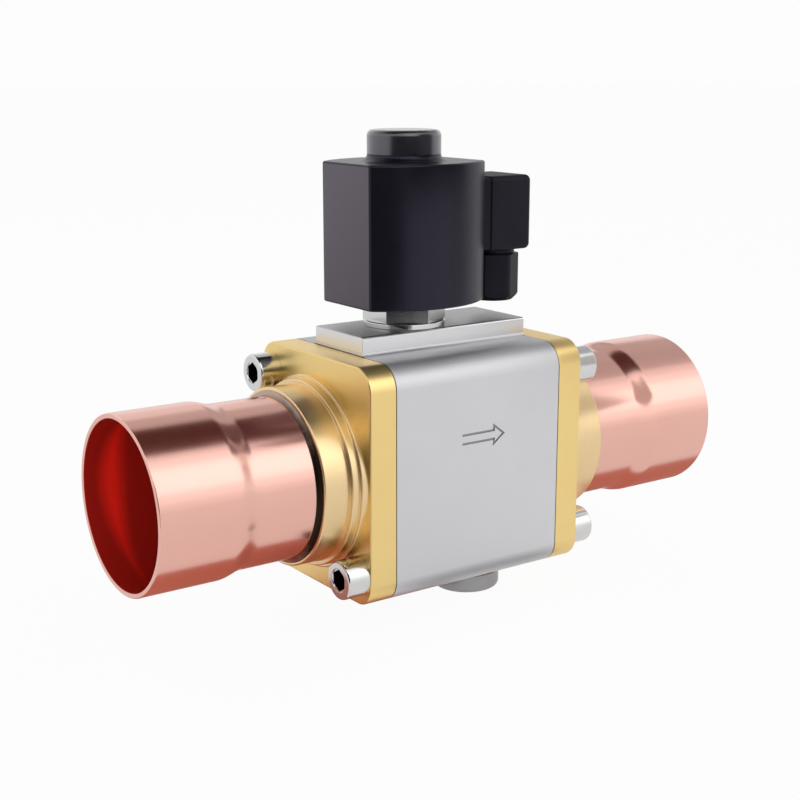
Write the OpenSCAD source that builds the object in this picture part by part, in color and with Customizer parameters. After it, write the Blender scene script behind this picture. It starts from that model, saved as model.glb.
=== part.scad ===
// In-line piston solenoid valve for a refrigerant line.
// The flow runs along X, from the inlet socket's mouth at X = 0 to the outlet. Z is up
// and the pipe axis lies at Z = 0. The servo piston slides along X inside a guide cup, and
// the pilot valve stands on top of the block under its coil.

/* [Copper pipe ends] */
// Outside diameter of the copper tube
tube_od = 66.7; // [60:0.1:68]
// Wall of the copper tube
tube_wall = 2.1; // [1.5:0.1:2.6]
// Play of a pipe in the socket, on the diameter
socket_play = 0.1; // [0.05:0.05:0.3]
// Length of the widened socket
socket_len = 34; // [20:1:45]
// Length of the taper behind the socket
taper_len = 8; // [4:1:15]
// Bare tube between the collar and the taper
bare_len = 27; // [10:1:60]
// Depth of the tube in its collar
tube_in = 16; // [10:0.5:17]
// Width of the brazing fillet
braze_w = 2; // [1:0.1:2.2]

/* [Valve block] */
// Length of the block along the flow
body_len = 83.7; // [80:0.5:100]
// Width of the block
body_w = 82.6; // [80:0.5:100]
// Height of the block without its ribs
body_h = 97.4; // [94:0.5:110]
// Radius of the block's long edges
corner_r = 10; // [4:0.5:11]
// Width of the top and bottom rib
rib_w = 35; // [30:0.5:42]
// Height of the top and bottom rib
rib_h = 7.9; // [5:0.1:12]
// Bevel along the ribs' edges
rib_bevel = 1.2; // [0.4:0.1:2.5]
// Diameter of the main bore
bore_d = 70; // [68:0.5:72]
// Diameter of the outlet chamber
outlet_d = 60; // [54:0.5:62]
// Length of the outlet chamber
outlet_len = 21.85; // [18:0.25:24]
// Length of the flare at the end of the outlet chamber
outlet_flare_len = 4; // [2:0.5:6]

/* [Flow arrow] */
// Length of the engraved arrow
arrow_len = 22; // [12:1:40]
// Height of the arrow's head
arrow_head_h = 9.5; // [6:0.5:16]
// Length of the arrow's head
arrow_head_len = 6.2; // [3:0.1:10]
// Height of the arrow's shaft
arrow_shaft_h = 4.6; // [2:0.1:5.5]
// Width of the engraved line
arrow_line = 0.7; // [0.4:0.1:1]
// Depth of the engraved line
arrow_depth = 0.5; // [0.2:0.1:1]
// Height of the arrow above the pipe axis
arrow_up = 14.7; // [0:0.1:25]
// Distance of the arrow from the block's middle, towards the outlet
arrow_ahead = 1.65; // [-10:0.05:10]

/* [Flanges] */
// Thickness of the flange plate
flange_t = 12.25; // [10:0.25:16]
// Bevel round the flange's outer face
flange_bevel = 0.9; // [0.4:0.1:2]
// Reach of the collar beyond the plate
collar_len = 17.9; // [17:0.1:25]
// Outside diameter of the collar
collar_d = 73.2; // [72.6:0.2:75]
// Diameter of the boss at the collar's root
boss_d = 80; // [79:0.5:81]
// Reach of the boss beyond the plate
boss_len = 3; // [1:0.5:4]
// Diameter of the step between boss and collar
step_d = 77.2; // [76:0.2:78.5]
// Reach of the step beyond the plate
step_len = 6.4; // [5:0.1:9]
// Bevel at the collar's mouth
collar_bevel = 0.8; // [0.4:0.1:1]

/* [Gaskets and sealing rings] */
// Thickness of a flange gasket
gasket_t = 1.5; // [1:0.1:2.5]
// Width of a flange gasket
gasket_w = 2.9; // [2:0.1:3]
// Play round a gasket in its recess
gasket_play = 0.1; // [0.05:0.05:0.3]

/* [Flange screws] */
// Thread diameter
screw_d = 10; // [8:0.5:11]
// Head diameter
screw_head_d = 16; // [14:0.5:16.5]
// Head height
screw_head_h = 10; // [6:0.5:12]
// Width of the hexagon socket across its flats
screw_key = 8; // [5:0.5:9]
// Depth of the hexagon socket
screw_key_depth = 5; // [3:0.5:5.5]
// Screw's reach into the block
screw_grip = 18; // [12:1:20]
// Distance of a screw from the flange's side
screw_edge_y = 8.5; // [8.5:0.25:9]
// Distance of a screw from the flange's top or bottom
screw_edge_z = 12.5; // [12:0.25:13]
// Play of a screw in the flange's hole, on the diameter
screw_play = 1; // [0.4:0.1:1.4]
// Radial play of a screw's head beside the boss
head_play = 0.3; // [0.1:0.05:0.4]
// Bore left free beyond the screw's end
screw_spare = 2; // [1:0.25:3]

/* [Piston guide] */
// Bore of the guide cup
cup_d = 50; // [49:0.5:50.5]
// Wall of the guide cup
cup_wall = 3; // [2:0.25:3.5]
// Thickness of the cup's closed end
cup_end_t = 4; // [3:0.5:6]
// Length of the streamlined nose ahead of the cup
nose_len = 15; // [10:0.5:17]
// Thickness of a guide rib
guide_rib_t = 7; // [6:0.5:9]
// Width of the guide's inlet ring along the flow
guide_ring_len = 5; // [4:0.5:8]
// Flow gap between the cup and the seat
port_gap = 14; // [13:0.5:16]
// Diameter of the bleed hole in the cup
bleed_d = 1.6; // [0.8:0.1:2.4]

/* [Seat and piston] */
// Diameter of the main port
seat_d = 45; // [40:0.5:46]
// Thickness of the seat ring
seat_ring_t = 6; // [4:0.5:7]
// Height of the seat's raised lip
seat_lip_h = 1; // [0.5:0.1:1.5]
// Width of the seat's raised lip
seat_lip_w = 2; // [1:0.1:2]
// Length of the piston without its sealing disc
piston_len = 14; // [13:0.5:15]
// Thickness of the piston's crown
piston_crown_t = 4; // [3:0.5:5]
// Wall of the piston's skirt
piston_skirt_t = 4.5; // [4:0.25:6]
// Stroke of the piston
piston_stroke = 11; // [8:0.5:12]
// Room behind the open piston
piston_end_gap = 5; // [4.5:0.5:7]
// Radial running clearance of the piston
piston_clear = 0.08; // [0.03:0.01:0.1]
// Width of a piston ring along the flow
ring_w = 2.5; // [1.5:0.25:3]
// Depth of a piston ring's groove
ring_depth = 2; // [1.5:0.25:2.5]
// Thickness of the sealing disc
disc_t = 3; // [2:0.25:4]
// Diameter of the plate that holds the sealing disc
retainer_d = 34; // [28:0.5:36]
// Thickness of that plate
retainer_t = 2.5; // [1.5:0.25:4]
// Wire of the piston spring
spring_wire = 1.8; // [1.2:0.1:2.2]
// Middle diameter of the piston spring
spring_d = 30; // [26:0.5:34]
// Turns of the piston spring
spring_turns = 5; // [4:1:6]

/* [Bottom plug] */
// Diameter of the plug's head
plug_d = 30; // [26:0.5:32]
// Height of the plug's head
plug_h = 8; // [6:0.25:12]
// Thread diameter of the plug
plug_thread_d = 20; // [16:0.5:22]
// Length of the plug's thread
plug_grip = 13; // [8:0.5:15]
// Distance of the plug from the outlet end of the block
plug_back = 16.85; // [15:0.25:19]
// Rounding of the head's lower edge
plug_round = 2; // [1:0.25:3]
// Width of the plug's hexagon socket across its flats
plug_key = 12; // [8:0.5:14]
// Depth of that socket
plug_key_depth = 5.6; // [3:0.1:7]
// Thickness of the plug's sealing washer
plug_washer_t = 1.4; // [1:0.1:2.5]

/* [Pilot valve] */
// Distance of the pilot valve from the inlet end of the block
pilot_in = 32.75; // [31:0.25:35]
// Diameter of the pilot chamber
pilot_d = 19; // [18:0.5:20]
// Depth of the threaded pilot bore below the rib's top
pilot_bore_depth = 7.6; // [7:0.1:8.5]
// Depth of the pilot chamber below the threaded bore
pilot_chamber_h = 4; // [3:0.1:4.5]
// Thread diameter of the tube nut
nut_thread_d = 23; // [22:0.5:24]
// Diameter of the pilot drillings
pilot_hole_d = 3; // [2:0.1:3.5]
// Depth of the return drilling's middle below the pilot chamber's floor
pilot_channel_drop = 4; // [3.8:0.1:4.5]
// Bore of the pilot seat
pilot_seat_d = 2.4; // [1.5:0.1:3]
// Height of the pilot seat above the chamber's floor
pilot_seat_h = 2.2; // [1.5:0.1:2.6]
// Diameter of the pilot seat's insert
pilot_insert_d = 7; // [6:0.5:8]

/* [Armature tube and plunger] */
// Outside diameter of the armature tube
arm_d = 13.5; // [12.5:0.1:14]
// Wall of the armature tube
arm_wall = 1.25; // [0.8:0.05:1.4]
// Thickness of the tube's foot
arm_foot_t = 1.5; // [1:0.1:2]
// Thickness of the seal under the foot
arm_seal_t = 1.2; // [0.8:0.1:1.6]
// Running clearance of the plunger, radial
plunger_clear = 0.08; // [0.03:0.01:0.1]
// Length of the plunger
plunger_len = 38; // [30:0.5:42]
// Stroke of the plunger
plunger_stroke = 2.4; // [1.5:0.1:3]
// Air gap left above the lifted plunger
plunger_end_gap = 0.2; // [0.1:0.1:0.5]
// Diameter of the spring pocket in the plunger
pocket_d = 6; // [5:0.25:7]
// Depth of that pocket
pocket_depth = 16; // [10:0.5:20]
// Wire of the plunger spring
plunger_wire = 0.6; // [0.4:0.05:0.8]
// Turns of the plunger spring
plunger_turns = 9; // [6:1:12]
// Height of the stud above the armature tube
stud_h = 10; // [8:0.5:11]
// Diameter of that stud
stud_d = 8; // [6:0.5:9]
// Width of the tube nut across its flats
nut_key = 30; // [27:0.5:31]
// Height of the nut's hexagon
nut_h = 6.4; // [5:0.1:9]
// Diameter of the nut's round collar
nut_collar_d = 34.4; // [33:0.2:35]
// Height of the nut's round collar
nut_collar_h = 2.4; // [1.5:0.1:4]

/* [Coil] */
// Length of the coil across its two flat ends
coil_len = 57.6; // [54:0.2:64]
// Width of the coil at its middle
coil_w = 57; // [52:0.2:60]
// Width of the flat ends
coil_flat_w = 34.4; // [30.5:0.2:36]
// Height of the coil
coil_h = 57.8; // [50:0.2:64]
// Thickness of the seal under the coil
coil_seal_t = 1; // [0.6:0.1:1.6]
// Cover of moulding over the yoke
coil_cover = 3; // [2:0.1:4]
// Thickness of the yoke plate
yoke_t = 3; // [2:0.1:4]
// Width of the yoke plate
yoke_w = 29; // [24:0.5:30]
// Diameter of the winding
winding_d = 40; // [32:0.5:42]
// Wall and flange of the bobbin
bobbin_t = 1.6; // [1:0.1:2.4]
// Height of the flared ring on the coil's top
flare_h = 2.6; // [1.5:0.1:4]
// Depth of the nut's recess in the flared ring
recess_depth = 2.6; // [2:0.1:4]
// Diameter of the screw cap
cap_d = 30.5; // [28:0.5:33]
// Height of the screw cap
cap_h = 10; // [9:0.25:15]
// Rounding of the cap's top edge
cap_round = 2.4; // [1:0.1:3.5]
// Wall of the screw cap
cap_wall = 2.2; // [1.5:0.1:3]
// Width of the lock nut across its flats
lock_key = 14; // [12:0.5:15]
// Height of the lock nut
lock_h = 5; // [4:0.25:6]

/* [Connector] */
// Reach of the connector housing from its gasket
plug_box_len = 27; // [24:0.5:32]
// Width of the connector housing
plug_box_w = 27.5; // [25:0.5:30]
// Height of the connector housing
plug_box_h = 31.6; // [28:0.2:36]
// Drop of the connector below the coil's top
plug_box_drop = 7.2; // [3:0.1:12]
// Wall of the connector housing
plug_box_wall = 2; // [1.4:0.1:2.6]
// Rounding of the connector's edges
plug_box_round = 2.5; // [1:0.25:4]
// Step between the connector's base and its cover
plug_step = 0.6; // [0.3:0.1:1]
// Length of the connector's base
plug_base_len = 5; // [3:0.25:8]
// Thickness of the connector's gasket
plug_gasket_t = 1.6; // [1:0.1:2.5]
// Distance of the cable gland from the connector's outer face
gland_back = 10; // [9.8:0.1:12]
// Width of the gland nut across its flats
gland_key = 20; // [18:0.2:20.6]
// Height of the gland nut
gland_h = 20; // [17:0.2:20.4]
// Free neck between the housing and the gland nut
gland_neck_h = 2.4; // [1:0.1:4]
// Diameter of the threaded neck
gland_thread_d = 16; // [14:0.5:17]
// Largest cable that the gland passes
cable_d = 8.5; // [6:0.5:10]
// Width of a terminal blade
blade_w = 6.3; // [5:0.1:7]
// Thickness of a terminal blade
blade_t = 0.8; // [0.6:0.1:1.2]
// Length of a terminal blade
blade_len = 9; // [6:0.5:11]
// Distance between the two live blades
blade_pitch = 18; // [16:0.5:19]
// Thread diameter of the connector's screw
plug_screw_d = 3; // [2.5:0.25:4]

/* [Hidden] */
$fn = 96;

over = 1;             // overlap of a cut past the face it opens
snug = 0.05;          // gap between fixed round pieces that fit into each other
spring_seat = 0.1;    // gap between a spring's end turn and its seat
thin = 0.01;          // thickness of the two outlines that a bevel runs between

copper = [0.80, 0.50, 0.42];
gold = [0.87, 0.72, 0.35];
satin_grey = [0.74, 0.74, 0.76];
steel = [0.82, 0.82, 0.84];
dark_steel = [0.45, 0.46, 0.48];
black = [0.10, 0.10, 0.12];
soft_black = [0.16, 0.16, 0.17];
white = [0.93, 0.93, 0.90];

// Flow direction, from the middle of the block
x_body = body_len / 2;
x_flange = x_body + flange_t;
x_mouth = x_flange + collar_len;
x_tube_end = x_mouth - tube_in;
x_taper = x_mouth + bare_len;
x_socket = x_taper + taper_len;
x_end = x_socket + socket_len;
tube_r = tube_od / 2;
tube_bore_r = tube_r - tube_wall;
socket_r = tube_r + socket_play / 2;
socket_out_r = socket_r + tube_wall;

// Main valve
bore_r = bore_d / 2;
outlet_r = outlet_d / 2;
x_shoulder = x_body - outlet_len;
x_lip = x_shoulder - seat_ring_t - seat_lip_h;
x_seat_face = x_shoulder - seat_ring_t;
guide_r = bore_r - snug;
cup_r = cup_d / 2;
cup_out_r = cup_r + cup_wall;
x_cup_front = x_lip - port_gap;
x_piston_front = x_lip - disc_t;
x_piston_back = x_piston_front - piston_len;
x_cup_end = x_piston_back - piston_stroke - piston_end_gap;
x_nose = x_cup_end - cup_end_t;
piston_r = cup_r - piston_clear;
seat_r = seat_d / 2;
gasket_in_r = bore_r + gasket_play;
gasket_out_r = gasket_in_r + gasket_w;

// Pilot valve, on the coil's axis
x_pilot = pilot_in - x_body;
z_top = body_h / 2 + rib_h;
z_pilot_step = z_top - pilot_bore_depth;
z_pilot_floor = z_pilot_step - pilot_chamber_h;
z_pilot_lip = z_pilot_floor + pilot_seat_h;
z_channel = z_pilot_floor - pilot_channel_drop;
pilot_r = pilot_d / 2;
x_feed = x_pilot - pilot_r + pilot_hole_d / 2 + snug;
z_foot = z_pilot_step + arm_seal_t;
z_foot_top = z_foot + arm_foot_t;
arm_r = arm_d / 2;
arm_bore_r = arm_r - arm_wall;
plunger_r = arm_bore_r - plunger_clear;
plunger_seal_t = 3;
plunger_lift = 1.3;
z_plunger = z_pilot_lip + plunger_lift;
z_plunger_top = z_plunger + plunger_len;
z_core = z_plunger_top + plunger_stroke + plunger_end_gap;
z_nut_hex = z_top + nut_collar_h;
z_nut_top = z_nut_hex + nut_h;

// Coil
z_coil = z_nut_top + coil_seal_t;
z_coil_top = z_coil + coil_h;
z_yoke = z_coil + coil_cover;
z_yoke_top = z_coil_top - coil_cover;
yoke_x = coil_len / 2 - coil_cover;
z_bobbin = z_yoke + yoke_t;
z_bobbin_top = z_yoke_top - yoke_t;
z_flare = z_coil_top + flare_h;
z_arm_top = z_yoke_top + snug;
recess_r = 10.5;
bulge = (coil_w - coil_flat_w) / 2;
side_r = (pow(coil_len / 2, 2) + pow(bulge, 2)) / (2 * bulge);
winding_r = winding_d / 2;

// Connector
x_coil_end = x_pilot + coil_len / 2;
x_box = x_coil_end + plug_gasket_t;
x_box_end = x_box + plug_box_len;
z_box_top = z_coil_top - plug_box_drop;
z_box = z_box_top - plug_box_h;
z_box_mid = (z_box + z_box_top) / 2;
x_gland = x_box_end - gland_back;
z_gland_top = z_box - gland_neck_h;
z_gland = z_gland_top - gland_h;

// The origin is the middle of the inlet socket's mouth; the pieces are laid out from the
// middle of the block
module from_inlet() {
    translate([x_end, 0, 0]) children();
}

// Round pieces along the flow, from x0 to x1
module rod_x(x0, x1, r) {
    translate([x0, 0, 0]) rotate([0, 90, 0]) cylinder(h = x1 - x0, r = r);
}

module cone_x(x0, x1, r0, r1) {
    translate([x0, 0, 0]) rotate([0, 90, 0]) cylinder(h = x1 - x0, r1 = r0, r2 = r1);
}

module pipe_x(x0, x1, r_out, r_in) {
    difference() {
        rod_x(x0, x1, r_out);
        rod_x(x0 - over, x1 + over, r_in);
    }
}

// Upright round pieces, from z0 to z1
module rod_z(z0, z1, r) {
    translate([0, 0, z0]) cylinder(h = z1 - z0, r = r);
}

module cone_z(z0, z1, r0, r1) {
    translate([0, 0, z0]) cylinder(h = z1 - z0, r1 = r0, r2 = r1);
}

module pipe_z(z0, z1, r_out, r_in) {
    difference() {
        rod_z(z0, z1, r_out);
        rod_z(z0 - over, z1 + over, r_in);
    }
}

// Upright hexagon, by its width across the flats, with two flats facing along X
module hex_z(z0, z1, key) {
    translate([0, 0, z0]) rotate([0, 0, 30])
        cylinder(h = z1 - z0, r = key / sqrt(3), $fn = 6);
}

module hex_x(x0, x1, key) {
    translate([x0, 0, 0]) rotate([0, 90, 0])
        cylinder(h = x1 - x0, r = key / sqrt(3), $fn = 6);
}

// Block between x0 and x1 with rounded long edges
module slab_x(x0, x1, w, h, r) {
    translate([x0, -w / 2, -h / 2 + r]) cube([x1 - x0, w, h - 2 * r]);
    translate([x0, -w / 2 + r, -h / 2]) cube([x1 - x0, w - 2 * r, h]);
    for (sy = [-1, 1], sz = [-1, 1])
        translate([0, sy * (w / 2 - r), sz * (h / 2 - r)]) rod_x(x0, x1, r);
}

// Coil spring along Z: a round wire swept along a helix with closed ends
function spring_z(t, turns, pitch_len, wire) =
    t < 1 ? wire / 2 + t * wire
    : t > turns - 1 ? pitch_len - wire / 2 - (turns - t) * wire
    : 1.5 * wire + (t - 1) / (turns - 2) * (pitch_len - 3 * wire);

module coil_spring(len, d, wire, turns) {
    steps = 20;
    sides = 8;
    count = turns * steps;
    points = [for (i = [0:count], k = [0:sides - 1])
        let (a = 360 * i / steps, b = 360 * k / sides, z = spring_z(i / steps, turns, len, wire),
            r = d / 2 + wire / 2 * cos(b))
        [r * cos(a), r * sin(a), z + wire / 2 * sin(b)]];
    sides_faces = [for (i = [0:count - 1], k = [0:sides - 1])
        let (n = (k + 1) % sides)
        [i * sides + k, i * sides + n, (i + 1) * sides + n, (i + 1) * sides + k]];
    start_cap = [[for (k = [sides - 1:-1:0]) k]];
    end_cap = [[for (k = [0:sides - 1]) count * sides + k]];
    polyhedron(points = points, faces = concat(sides_faces, start_cap, end_cap));
}

// Places of the flange screws
module at_screws(list) {
    for (p = list)
        translate([0, p[0] * (body_w / 2 - screw_edge_y), p[1] * (body_h / 2 - screw_edge_z)])
            children();
}

inlet_places = [[1, 1], [-1, -1], [1, -1]];
outlet_places = [[1, 1], [-1, 1], [-1, -1], [1, -1]];

// Engraved flow arrow: an outline that stays open at its tail
module arrow_outline() {
    tip = arrow_len / 2;
    neck = tip - arrow_head_len;
    half = arrow_head_h / 2;
    shaft = arrow_shaft_h / 2;
    polygon([[-tip, shaft], [neck, shaft], [neck, half], [tip, 0], [neck, -half],
        [neck, -shaft], [-tip, -shaft], [-tip, -shaft + arrow_line],
        [neck + arrow_line, -shaft + arrow_line],
        [neck + arrow_line, -half + 2 * arrow_line], [tip - 1.6 * arrow_line, 0],
        [neck + arrow_line, half - 2 * arrow_line], [neck + arrow_line, shaft - arrow_line],
        [-tip, shaft - arrow_line]]);
}

// Forged block with a rib above and below, bored for the guide, the pilot and the plug
module valve_body() {
    color(satin_grey) from_inlet()
    difference() {
        union() {
            slab_x(-x_body, x_body, body_w, body_h, corner_r);
            for (s = [-1, 1]) block_rib(s);
        }
        rod_x(-x_body - over, x_shoulder, bore_r);
        rod_x(x_shoulder - over, x_body + over, outlet_r);
        cone_x(x_body - outlet_flare_len, x_body + over, outlet_r, tube_bore_r + flare_play);
        for (s = [-1, 1]) gasket_recess(s);
        screw_bores(-1, inlet_places);
        screw_bores(1, outlet_places);
        pilot_drillings();
        plug_bores();
        translate([arrow_ahead, -body_w / 2 + arrow_depth, arrow_up]) rotate([90, 0, 0])
            linear_extrude(height = arrow_depth + over) arrow_outline();
    }
}

// Rib along the block, above or below it, with bevelled edges
module block_rib(s) {
    half = rib_w / 2;
    top = body_h / 2 + rib_h;
    root = body_h / 2 - corner_r;
    rotate([90, 0, 90]) translate([0, 0, -x_body])
        linear_extrude(height = body_len)
            polygon([[-half, s * root], [half, s * root], [half, s * (top - rib_bevel)],
                [half - rib_bevel, s * top], [-half + rib_bevel, s * top],
                [-half, s * (top - rib_bevel)]]);
}

module gasket_recess(s) {
    x0 = s > 0 ? x_body - gasket_t : -x_body - over;
    rod_x(x0, x0 + gasket_t + over, gasket_out_r + gasket_play);
}

module screw_bores(s, list) {
    depth = screw_grip + screw_spare;
    x0 = s > 0 ? x_body - depth : -x_body - over;
    at_screws(list) rod_x(x0, x0 + depth + over, screw_d / 2 + snug);
}

// Threaded bore, chamber, feed from the cup and return to the outlet chamber
module pilot_drillings() {
    translate([x_pilot, 0, 0]) {
        rod_z(z_pilot_step, z_top + over, nut_thread_d / 2 + snug);
        rod_z(z_pilot_floor, z_pilot_step + over, pilot_r);
        rod_z(z_channel + insert_up, z_pilot_floor + over, pilot_insert_d / 2 + snug);
    }
    translate([x_feed, 0, 0]) rod_z(bore_r - over, z_pilot_floor + over, pilot_hole_d / 2);
    translate([0, 0, z_channel]) {
        rod_x(x_pilot - pilot_hole_d, x_body + over, pilot_hole_d / 2);
        rod_x(x_body - channel_plug_len, x_body + over, channel_plug_r + snug);
    }
    translate([x_plug, 0, 0]) rod_z(outlet_r - over, z_channel, pilot_hole_d / 2);
}

x_plug = x_body - plug_back;
channel_plug_len = 5;
channel_plug_step = 0.5;
channel_plug_r = pilot_hole_d / 2 + channel_plug_step;
drain_r = 5;
flare_play = 0.4;
insert_up = 1;

module plug_bores() {
    translate([x_plug, 0, 0]) {
        rod_z(-z_top - over, -z_top + plug_grip + over, plug_thread_d / 2 + snug);
        rod_z(-z_top, -outlet_r + 2 * over, drain_r);
    }
}

// Flange plate with its turned collar; side -1 is the inlet, 1 the outlet
module flange(s, places) {
    color(gold) from_inlet()
    mirror([s < 0 ? 1 : 0, 0, 0])
    difference() {
        union() {
            slab_x(x_body, x_flange - flange_bevel, body_w, body_h, corner_r);
            flange_edge();
            difference() {
                collar_steps();
                at_screws(places) rod_x(x_flange, x_mouth, screw_head_d / 2 + head_play);
            }
        }
        rod_x(x_body - over, x_mouth + over, tube_bore_r);
        rod_x(x_tube_end, x_mouth + over, tube_r + snug);
        at_screws(places) rod_x(x_body - over, x_flange + over, (screw_d + screw_play) / 2);
    }
}

// Boss, step and collar, one inside the other; a larger boss gives way to the screw heads
module collar_steps() {
    rod_x(x_body + over, x_flange + boss_len, boss_d / 2);
    rod_x(x_body + over, x_flange + step_len, step_d / 2);
    rod_x(x_body + over, x_mouth - collar_bevel, collar_d / 2);
    cone_x(x_mouth - collar_bevel, x_mouth, collar_d / 2, collar_d / 2 - collar_bevel);
}

module flange_edge() {
    hull() {
        slab_x(x_flange - flange_bevel - thin, x_flange - flange_bevel, body_w, body_h, corner_r,
            $fn = 64);
        slab_x(x_flange - thin, x_flange, body_w - 2 * flange_bevel, body_h - 2 * flange_bevel,
            corner_r - flange_bevel, $fn = 64);
    }
}

module inlet_flange() flange(-1, inlet_places);
module outlet_flange() flange(1, outlet_places);

// Copper stub: a plain tube that widens into a socket for the line
module stub(s) {
    lip = tube_wall / 3;
    color(copper) from_inlet()
    mirror([s < 0 ? 1 : 0, 0, 0]) rotate([0, 90, 0]) rotate_extrude()
        polygon([[tube_bore_r, x_tube_end], [tube_r, x_tube_end], [tube_r, x_taper],
            [socket_out_r, x_socket], [socket_out_r, x_end - lip], [socket_out_r - lip, x_end],
            [socket_r, x_end], [socket_r, x_socket], [tube_bore_r, x_taper]]);
}

module inlet_stub() stub(-1);
module outlet_stub() stub(1);

// Fillet of silver solder at the collar's mouth
module braze(s) {
    color(steel) from_inlet()
    mirror([s < 0 ? 1 : 0, 0, 0]) rotate([0, 90, 0]) rotate_extrude()
        polygon([[tube_r + snug, x_mouth], [tube_r + snug + braze_w, x_mouth],
            [tube_r + snug + braze_w / 3, x_mouth + braze_w / 3],
            [tube_r + snug, x_mouth + braze_w]]);
}

module inlet_braze() braze(-1);
module outlet_braze() braze(1);

module gasket(s) {
    color(soft_black) from_inlet()
    mirror([s < 0 ? 1 : 0, 0, 0])
        pipe_x(x_body - gasket_t, x_body, gasket_out_r, gasket_in_r);
}

module inlet_gasket() gasket(-1);
module outlet_gasket() gasket(1);

// Socket head cap screw along X with its head's seat at x = 0
module cap_screw() {
    bevel = screw_head_h / 12;
    difference() {
        union() {
            rod_x(0, screw_head_h - bevel, screw_head_d / 2);
            cone_x(screw_head_h - bevel, screw_head_h, screw_head_d / 2,
                screw_head_d / 2 - bevel);
            rod_x(-flange_t - screw_grip, over, screw_d / 2);
        }
        hex_x(screw_head_h - screw_key_depth, screw_head_h + over, screw_key);
    }
}

module screw_set(s, places) {
    color(steel) from_inlet()
    mirror([s < 0 ? 1 : 0, 0, 0]) at_screws(places) translate([x_flange, 0, 0]) cap_screw();
}

module inlet_screws() screw_set(-1, inlet_places);
module outlet_screws() screw_set(1, outlet_places);

// Guide: inlet ring, four ribs, and a cup with a streamlined nose
module piston_guide() {
    nose_steps = 10;
    nose = [for (i = [0:nose_steps])
        let (a = 90 * i / nose_steps)
        [cup_out_r * sin(a), x_nose - nose_len * cos(a)]];
    color(dark_steel) from_inlet()
    difference() {
        union() {
            pipe_x(-x_body, -x_body + guide_ring_len, guide_r, tube_bore_r);
            rotate([0, 90, 0]) rotate_extrude()
                polygon(concat(nose, [[cup_out_r, x_cup_front], [0, x_cup_front]]));
            intersection() {
                for (a = [0, 90])
                    rotate([a, 0, 0])
                        translate([-x_body, -guide_rib_t / 2, -guide_r])
                            cube([x_seat_face + x_body, guide_rib_t, 2 * guide_r]);
                pipe_x(-x_body, x_seat_face, guide_r, cup_out_r - cup_wall / 2);
            }
        }
        rod_x(x_cup_end, x_cup_front + over, cup_r);
        rod_x(x_cup_front, x_seat_face + over, cup_out_r);
        translate([x_feed, 0, 0]) rod_z(cup_r - over, bore_r + over, pilot_hole_d / 2);
        rotate([45, 0, 0]) translate([x_feed, 0, 0])
            rod_z(-cup_out_r - over, -cup_r + over, bleed_d / 2);
    }
}

// Seat ring with its raised lip, held against the shoulder by the guide's ribs
module seat_ring() {
    color(steel) from_inlet()
    rotate([0, 90, 0]) rotate_extrude()
        polygon([[seat_r, x_lip], [seat_r + seat_lip_w, x_lip],
            [seat_r + seat_lip_w, x_seat_face], [guide_r, x_seat_face], [guide_r, x_shoulder],
            [seat_r + seat_lip_h, x_shoulder], [seat_r, x_shoulder - seat_lip_h]]);
}

// Piston: crown and skirt, with two ring grooves and a threaded centre
module piston() {
    groove_r = piston_r - ring_depth;
    color(gold) from_inlet()
    difference() {
        rod_x(x_piston_back, x_piston_front, piston_r);
        rod_x(x_piston_back - over, x_piston_front - piston_crown_t,
            piston_r - piston_skirt_t);
        for (x = ring_places) pipe_x(x, x + ring_w, piston_r + over, groove_r);
        rod_x(x_piston_back, x_piston_front + over, retainer_stem_r + snug);
    }
}

ring_back = 1.5;
ring_front = 3;
ring_places = [x_piston_back + ring_back, x_piston_front - ring_w - ring_front];
retainer_stem_r = 4;

module piston_rings() {
    color(white) from_inlet()
    for (x = ring_places)
        pipe_x(x + snug, x + ring_w - snug, piston_r + piston_clear / 2,
            piston_r - ring_depth + snug);
}

// Soft disc that closes on the lip
module seat_disc() {
    color(soft_black) from_inlet()
    pipe_x(x_piston_front, x_lip, seat_r + seat_lip_w, retainer_stem_r + snug);
}

// Plate and stem that hold the soft disc, with a nut behind the crown
module disc_retainer() {
    nut_x = x_piston_front - piston_crown_t;
    color(steel) from_inlet() {
        cone_x(x_lip, x_lip + retainer_t, retainer_d / 2, retainer_d / 2 - retainer_t / 2);
        rod_x(nut_x - retainer_nut_t - stem_end, x_lip + over, retainer_stem_r);
        hex_x(nut_x - retainer_nut_t, nut_x, retainer_nut_key);
    }
}

retainer_nut_t = 4;
retainer_nut_key = 13;
stem_end = 1;

module piston_spring() {
    len = x_piston_front - piston_crown_t - x_cup_end - 2 * spring_seat;
    color(steel) from_inlet()
    translate([x_cup_end + spring_seat, 0, 0]) rotate([0, 90, 0])
        coil_spring(len, spring_d, spring_wire, spring_turns);
}

// Round-headed plug under the block, with a hexagon socket
module bottom_plug() {
    z_head = -z_top - plug_washer_t;
    z_low = z_head - plug_h;
    arc = [for (i = [0:6]) let (a = 90 * i / 6)
        [plug_d / 2 - plug_round + plug_round * sin(a), z_low + plug_round - plug_round * cos(a)]];
    color(steel) from_inlet()
    translate([x_plug, 0, 0])
    difference() {
        union() {
            rotate_extrude() polygon(concat([[0, z_low]], arc, [[plug_d / 2, z_head], [0, z_head]]));
            rod_z(z_head - over, -z_top + plug_grip, plug_thread_d / 2);
        }
        hex_z(z_low - over, z_low + plug_key_depth, plug_key);
    }
}

module plug_washer() {
    color(copper) from_inlet()
    translate([x_plug, 0, 0])
        pipe_z(-z_top - plug_washer_t, -z_top, plug_d / 2 - washer_inset,
            plug_thread_d / 2 + snug);
}

washer_inset = 1;

// Pressed plug that closes the drilled return channel
module channel_plug() {
    color(gold) from_inlet()
    translate([0, 0, z_channel]) rod_x(x_body - channel_plug_len, x_body, channel_plug_r);
}

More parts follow.
